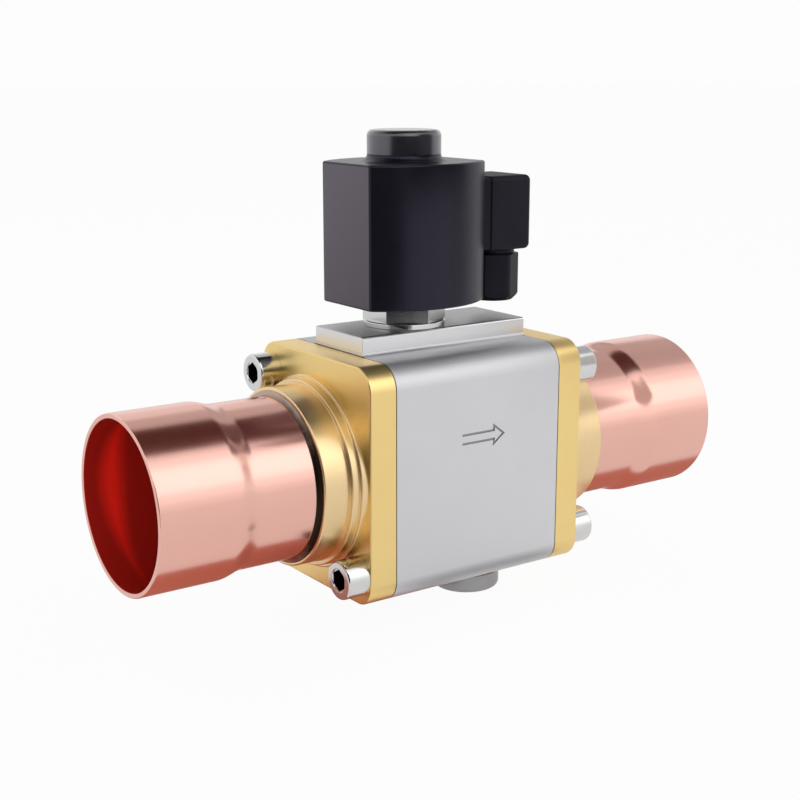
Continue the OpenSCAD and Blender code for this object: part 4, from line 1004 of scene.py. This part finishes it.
def soft_box(name, middle, size, radiance, turn=0.0):
    """A lamp of the given size in metres, leaning towards the valve, and turned by degrees."""
    light = bpy.data.lights.new(name, "AREA")
    light.shape, light.size, light.size_y = "RECTANGLE", size[0], size[1]
    light.energy = radiance * math.pi * size[0] * size[1]
    lamp = bpy.data.objects.new(name, light)
    bpy.context.collection.objects.link(lamp)
    lamp.location = middle
    lamp.rotation_euler = (math.atan2(-middle[1], middle[2]), 0, math.radians(turn))
    return lamp


def felt(name, tone, tint=(1, 1, 1)):
    return Finish(name, Roughness=1.0, Specular_IOR_Level=0.0, Base_Color=grey(tone, tint))


def reflected(card, finish):
    """A card that only reflections show."""
    card.data.materials.append(finish.material)
    for kind in ("camera", "diffuse", "shadow", "transmission", "volume_scatter"):
        setattr(card, "visible_" + kind, False)


def screen(name, start, turn, low, high, far=300):
    """An upright card bent round the coil's axis, from one angle on by another."""
    a = math.radians(start)
    x, y = PILOT + far * math.cos(a), far * math.sin(a)
    card = draw(name, [spot(x, y, low), spot(x, y, high)])
    bpy.ops.mesh.spin(steps=16, angle=-math.radians(turn), center=spot(PILOT, 0, 0),
                      axis=(0, 0, 1))
    done()
    return card


CEILING = 1180.0


def ceiling_card(name, low, high):
    """A flat card overhead, between two corners (x, y)."""
    return slab(name, (*low, CEILING), (*high, CEILING + 20))


def floor_card(name, low, high):
    """A thin card on the floor, between two corners (x, y)."""
    return slab(name, (*low, FLOOR + 0.1), (*high, FLOOR + 0.2))


soft_box("long_box", (0.65, -1.05, 0.80), (2.6, 1.4), 0.24)
soft_box("bright_core", (0.75, -1.12, 0.85), (2.6, 0.8), 0.4)
soft_box("back_box", (0.1, 1.4, 1.1), (2.0, 1.0), 0.4)
soft_box("mouth_box", (-0.75, -0.92, 0.2), (0.6, 0.6), 4.5, turn=-39).visible_glossy = False
black, dark = felt("black_felt", 0.02), felt("dark_felt", 0.45)
shade, pale = felt("grey_felt", 0.3), felt("pale_felt", 0.95)
warm = felt("warm_felt", 0.75, (1, 0.46, 0.36))
reflected(ceiling_card("overhead_card", (-1000, -400), (909, 540)), black)
reflected(ceiling_card("overhead_end_card", (909, -260), (2300, 540)), felt("end_felt", 0.85))
reflected(ceiling_card("back_card", (-1000, 540), (2300, 3000)), pale)
reflected(floor_card("inlet_card", (-170, -36), (0, 40)), warm)
reflected(floor_card("outlet_card", (106, -36), (240, 40)), warm)
reflected(floor_card("edge_card", (-20, -72), (59, -42)), dark)
reflected(screen("front_card", -104, -62, 0, 190), black)
reflected(screen("nut_card", -114, -42, -60, 0), black)
reflected(screen("cap_card", -83, -25, 110, 145, far=80), black)
reflected(screen("cap_side_card", -83, 46, 112.2, 190, far=80), shade)
reflected(screen("right_card", -50, 25, 40, 110.5, far=160), pale)

TARGET = Vector((0.1299, 0.0, 0.0237))              # in metres from the frame's origin
BACK = Vector((-0.5609, -0.7958, 0.2282)).normalized()
DISTANCE, SENSOR, LENS = 0.602, 36.0, 63.75
eye = bpy.data.objects.new("camera", bpy.data.cameras.new("camera"))
bpy.context.collection.objects.link(eye)
eye.location = TARGET + BACK * DISTANCE
eye.rotation_euler = (-BACK).to_track_quat("-Z", "Y").to_euler()
eye.data.sensor_width, eye.data.lens = SENSOR, LENS
bpy.context.scene.camera = eye
bpy.context.scene.view_settings.view_transform = "Standard"

nothing_selected()
